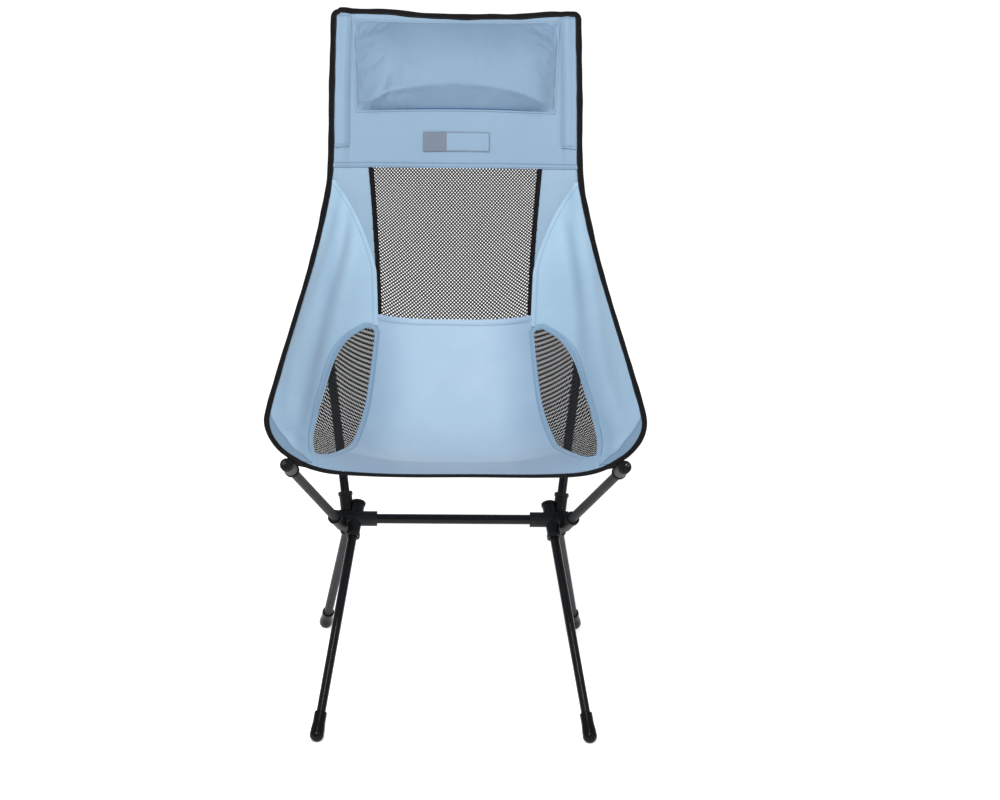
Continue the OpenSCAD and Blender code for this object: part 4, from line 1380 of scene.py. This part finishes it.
@dataclass
class Fittings:
    """Pockets under the front corners, with their caps, rims and flaps, and sleeves for the poles."""

    shape: SlingShape
    finishes: Finishes

    def pocket(self, side: Side) -> None:
        """A webbing pocket that flares towards its bound mouth, with a black cap at the end."""
        low, high = (np.array(c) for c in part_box(f"rivet_{side.word}"))
        end = (low + high) / 2
        low, high = (np.array(c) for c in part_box(f"seat_strut_{side.word}"))
        start = np.array([low[0] if side is Side.RIGHT else high[0], high[1], low[2]])
        tip = np.array([high[0] if side is Side.RIGHT else low[0], low[1], high[2]])
        axis = unit(tip - start)
        skin = np.array([[8.6, -8.0], [8.75, -14.0], [9.3, -22.0], [10.1, -29.0], [10.4, -33.0],
                         [9.5, -33.0], [9.2, -29.0], [8.5, -22.0], [8.0, -14.0], [7.9, -8.0]]) / 1000
        body = turned(f"pocket_{side.word}", end, axis, skin, 48, 0.94)
        dress(body, self.finishes.pocket)
        a = np.linspace(0, math.pi / 2, 9)
        outer = np.stack([9.3 * np.cos(a), -9.2 + 8.6 * np.sin(a)], 1)
        inner = np.stack([8.8 * np.cos(a[::-1]), -9.2 + 8.1 * np.sin(a[::-1])], 1)
        profile = np.concatenate([[[9.4, -14.5]], outer, inner, [[8.8, -14.5]]]) / 1000
        profile[:, 0] = np.maximum(profile[:, 0], 1e-5)
        cap = turned(f"pocket_cap_{side.word}", end, axis, profile)
        dress(cap, self.finishes.tape)
        a = np.linspace(0, 2 * np.pi, 12, endpoint=False)
        rim = np.stack([10.1 + 1.0 * np.cos(a), -32.0 + 3.2 * np.sin(a)], 1) / 1000
        bound = turned(f"pocket_rim_{side.word}", end, axis, rim, 48, 0.94)
        dress(bound, self.finishes.tape)
        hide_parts(f"corner_pocket_{side.word}")
        self.flap(side, end, axis)

    def flap(self, side: Side, end: Array, axis: Array) -> None:
        """The webbing that joins a pocket, from its cap to its mouth, to the edge binding."""
        s = self.shape
        v = np.linspace(0.0, 1.8, 400)
        edge = s.place(v, side.value * s.reach(v) * 0.995)
        across = edge - end + 0.012 * axis
        across = across - (across @ axis)[:, None] * axis
        gap = np.linalg.norm(across, axis=1)
        towards = across[np.argmin(gap)] / gap.min()
        near = edge[np.linalg.norm(edge - edge[np.argmin(gap)], axis=1) < 0.06]
        down = (near - end) @ axis
        order = np.argsort(down)
        far = np.linspace(-0.031, -0.003, 16)
        bound = resampled(far, down[order], near[order])
        seated = end + far[:, None] * axis + 0.0088 * towards
        t = np.linspace(0.0, 1.0, 8)[None, :, None]
        grid = bound[:, None] * (1 - t) + seated[:, None] * t
        grid = grid if side is Side.LEFT else grid[:, ::-1]
        normal = unit(np.cross(np.gradient(grid, axis=1), np.gradient(grid, axis=0)))
        width = np.linalg.norm(bound - seated, axis=1)
        uv = np.stack([width[:, None] * t[..., 0], np.broadcast_to(far[:, None], grid.shape[:2])], -1)
        piece = closed_sheet(f"pocket_flap_{side.word}", grid + 0.0009 * normal, grid - 0.0009 * normal, uv)
        dress(piece, self.finishes.tape)

    def tunnel(self, side: Side) -> None:
        """The sleeve behind the head panel: cloth drawn round the pole and sewn down on both sides.

        The section is a half circle behind the pole, with straight legs to the panel. Near the top its
        depth shrinks as a quarter-ellipse, which closes the sleeve.
        """
        s, sign = self.shape, side.value
        low, high = (np.array(c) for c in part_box(f"back_pole_upper_{side.word}"))
        wide, narrow = (high[0], low[0]) if side is Side.RIGHT else (low[0], high[0])
        tube_r, rim_y, rim_z = 0.00675, 0.0062, 0.0027
        start = np.array([wide - sign * tube_r, low[1] + rim_y, low[2] + rim_z])
        end = np.array([narrow + sign * tube_r, high[1] - rim_y, high[2] - rim_z])
        axis = unit(end - start)
        low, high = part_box(f"pole_sleeve_{side.word}")
        rows, middle_u = 80, 0.93
        far = (np.linspace(low[2] + 0.003, high[2] - 0.003, rows) - start[2]) / axis[2]
        centre = start + far[:, None] * axis
        fine = np.linspace(5.6, s.last + 0.15, 400)
        v = np.interp(far, (s.place(fine, sign * middle_u) - start) @ axis, fine)
        inner, outer = (s.place(v, sign * u, -0.0012) for u in (0.866, 0.984))
        front = s.place(v, sign * middle_u) - centre
        front = unit(front - (front @ axis)[:, None] * axis)
        out = np.cross(axis, front)
        out = out * np.sign(np.sum(out * (outer - inner), axis=1))[:, None]
        a = np.linspace(-np.pi / 2, np.pi / 2, 25)[None, :, None]
        round_pole = centre[:, None] + 0.0088 * (np.sin(a) * out[:, None] - np.cos(a) * front[:, None])
        leg = np.linspace(0.0, 1.0, 8)[None, :-1, None]
        first = inner[:, None] * (1 - leg) + round_pole[:, :1] * leg
        last = outer[:, None] * (1 - leg) + round_pole[:, -1:] * leg
        grid = np.concatenate([first, round_pole, last[:, ::-1]], axis=1)
        across = np.linspace(0.0, 1.0, grid.shape[1])[None, :, None]
        chord = inner[:, None] * (1 - across) + outer[:, None] * across
        k = np.clip((far - far[-1] + 0.014) / 0.014, 0.0, 0.985)[:, None, None]
        grid = chord + (grid - chord) * np.sqrt(1 - k * k)
        normal = unit(np.cross(np.gradient(grid, axis=1), np.gradient(grid, axis=0)))
        step = np.linalg.norm(np.diff(grid, axis=1), axis=2)
        along = np.concatenate([np.zeros((rows, 1)), np.cumsum(step, axis=1)], axis=1)
        uv = np.stack([along, np.broadcast_to(far[:, None], along.shape)], -1)
        # Painted shade: darker lines in the grooves where the sleeve is sewn down on both sides.
        sewn = bump(across[..., 0], 0.06, 0.02) + bump(across[..., 0], 0.94, 0.02)
        piece = closed_sheet(f"pole_tunnel_{side.word}", grid + 0.0004 * normal, grid - 0.0004 * normal, uv,
                             {"painted_shade": 0.7 * np.broadcast_to(sewn, along.shape)})
        dress(piece, self.finishes.sling)
        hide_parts(f"pole_sleeve_{side.word}")

    def build(self) -> None:
        """Makes the fittings on both sides."""
        for side in Side:
            self.pocket(side)
            self.tunnel(side)


# ------------------------------------------------------------------ frame


@dataclass
class TubeFrame:
    """Materials of the CAD nodes that stay as they are."""

    finishes: Finishes

    def build(self) -> None:
        """Gives each shown CAD node its finish."""
        f = self.finishes
        by_start = {
            "crossbar_tube": f.tube, "front_leg": f.tube, "back_pole": f.tube,
            "seat_strut": f.strut, "rear_leg": f.strut, "hub": f.hub, "pole_elbow": f.hub,
            "front_foot": f.cap, "rear_foot": f.cap, "strut_tip": f.cap, "pole_tip": f.cap,
            "crossbar_cord": f.cord, "front_leg_cord": f.cord,
            "rear_leg_cord": f.cord, "strut_cord": f.cord, "pole_cord": f.cord, "rivet": f.rivet,
            "corner_pocket": f.pocket, "corner_patch": f.patch, "pole_sleeve": f.sling,
            "pillow": f.sling, "label": f.label,
        }
        for name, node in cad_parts.items():
            fits = [start for start in by_start if name.startswith(start)]
            if fits:
                node.data.materials.clear()
                node.data.materials.append(by_start[max(fits, key=len)])
                node.data.polygons.foreach_set("use_smooth", [True] * len(node.data.polygons))
        LOG.info("frame dressed")


# ------------------------------------------------------------------ studio


@dataclass
class Studio:
    """Camera, lights, floor and background."""

    eye: tuple[float, float, float] = (-0.0628, -4.8942, 1.7388)
    focal: float = 123.56
    turn: float = 1.516
    tilt: float = 14.846
    roll: float = 0.807
    back: float = 0.0

    def camera(self) -> None:
        """A long lens in front of the chair, a little above the seat and tipped down."""
        data = bpy.data.cameras.new("view")
        data.lens = self.focal
        data.sensor_width = 36.0
        data.clip_end = 400.0
        camera = bpy.data.objects.new("view", data)
        bpy.context.scene.collection.objects.link(camera)
        turn, tilt, roll = (math.radians(a) for a in (self.turn, self.tilt, self.roll))
        ahead = Vector((math.sin(turn) * math.cos(tilt), math.cos(turn) * math.cos(tilt), -math.sin(tilt)))
        right = Vector((math.cos(turn), -math.sin(turn), 0.0))
        up = right.cross(ahead)
        rolled_right = right * math.cos(roll) + up * math.sin(roll)
        rolled_up = up * math.cos(roll) - right * math.sin(roll)
        basis = Matrix((rolled_right, rolled_up, -ahead)).transposed()
        place = Vector(self.eye) + Vector((0.0, self.back, 0.0))
        camera.matrix_world = Matrix.Translation(place) @ basis.to_4x4()
        bpy.context.scene.camera = camera

    def floor(self) -> None:
        """A wide pale floor."""
        size = 80.0
        points = np.array([[-size, -size, 0], [size, -size, 0], [size, size, 0], [-size, size, 0]], float)
        points[:, 2] = -0.0005
        floor = mesh_piece("floor", points, [np.array([[0, 1, 2, 3]])])
        material = bpy.data.materials.new("pale_floor")
        material.use_nodes = True
        shader = material.node_tree.nodes["Principled BSDF"]
        shader.inputs["Base Color"].default_value = (0.95, 0.95, 0.95, 1.0)
        shader.inputs["Roughness"].default_value = 0.9
        shader.inputs["Specular IOR Level"].default_value = 0.0
        shader.inputs["Emission Color"].default_value = (1.0, 1.0, 1.0, 1.0)
        shader.inputs["Emission Strength"].default_value = 0.6
        floor.data.materials.append(material)

    def light(self, name: str, place: tuple[float, float, float], aim: tuple[float, float, float],
              size: float, power: float) -> None:
        """A square soft light at place, turned towards aim."""
        data = bpy.data.lights.new(name, "AREA")
        data.shape = "SQUARE"
        data.size = size
        data.energy = power
        light = bpy.data.objects.new(name, data)
        bpy.context.scene.collection.objects.link(light)
        light.location = place
        light.rotation_mode = "QUATERNION"
        light.rotation_quaternion = (Vector(aim) - Vector(place)).to_track_quat("-Z", "Y")

    def build(self) -> None:
        """Makes the whole studio."""
        self.camera()
        self.floor()
        world = bpy.data.worlds.new("studio")
        bpy.context.scene.world = world
        world.use_nodes = True
        background = world.node_tree.nodes["Background"]
        background.inputs["Color"].default_value = (1.0, 1.0, 1.0, 1.0)
        background.inputs["Strength"].default_value = 0.45
        self.light("key", (-0.7, -3.1, 3.3), (0.0, 0.0, 0.5), 1.3, 139.0)
        self.light("top", (0.0, -1.12, 3.1), (0.0, -0.2, 0.1), 0.35, 12.0)
        self.light("fill", (2.4, -2.4, 1.6), (0.0, 0.0, 0.5), 1.6, 14.0)
        bpy.context.scene.view_settings.view_transform = "Standard"
        LOG.info("studio made")


def main() -> None:
    """Builds the studio, then the chair from the frame outwards."""
    logging.basicConfig(level=logging.INFO, format="%(message)s")
    low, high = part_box("crossbar_tube")
    back = (low.y + high.y) / 2
    Studio(back=back).build()
    finishes = Finishes()
    shape = SlingShape(back=back)
    TubeFrame(finishes).build()
    Sling(shape, finishes).build()
    Pillow(shape, finishes).build()
    Fittings(shape, finishes).build()


if __name__ == "__main__":
    main()
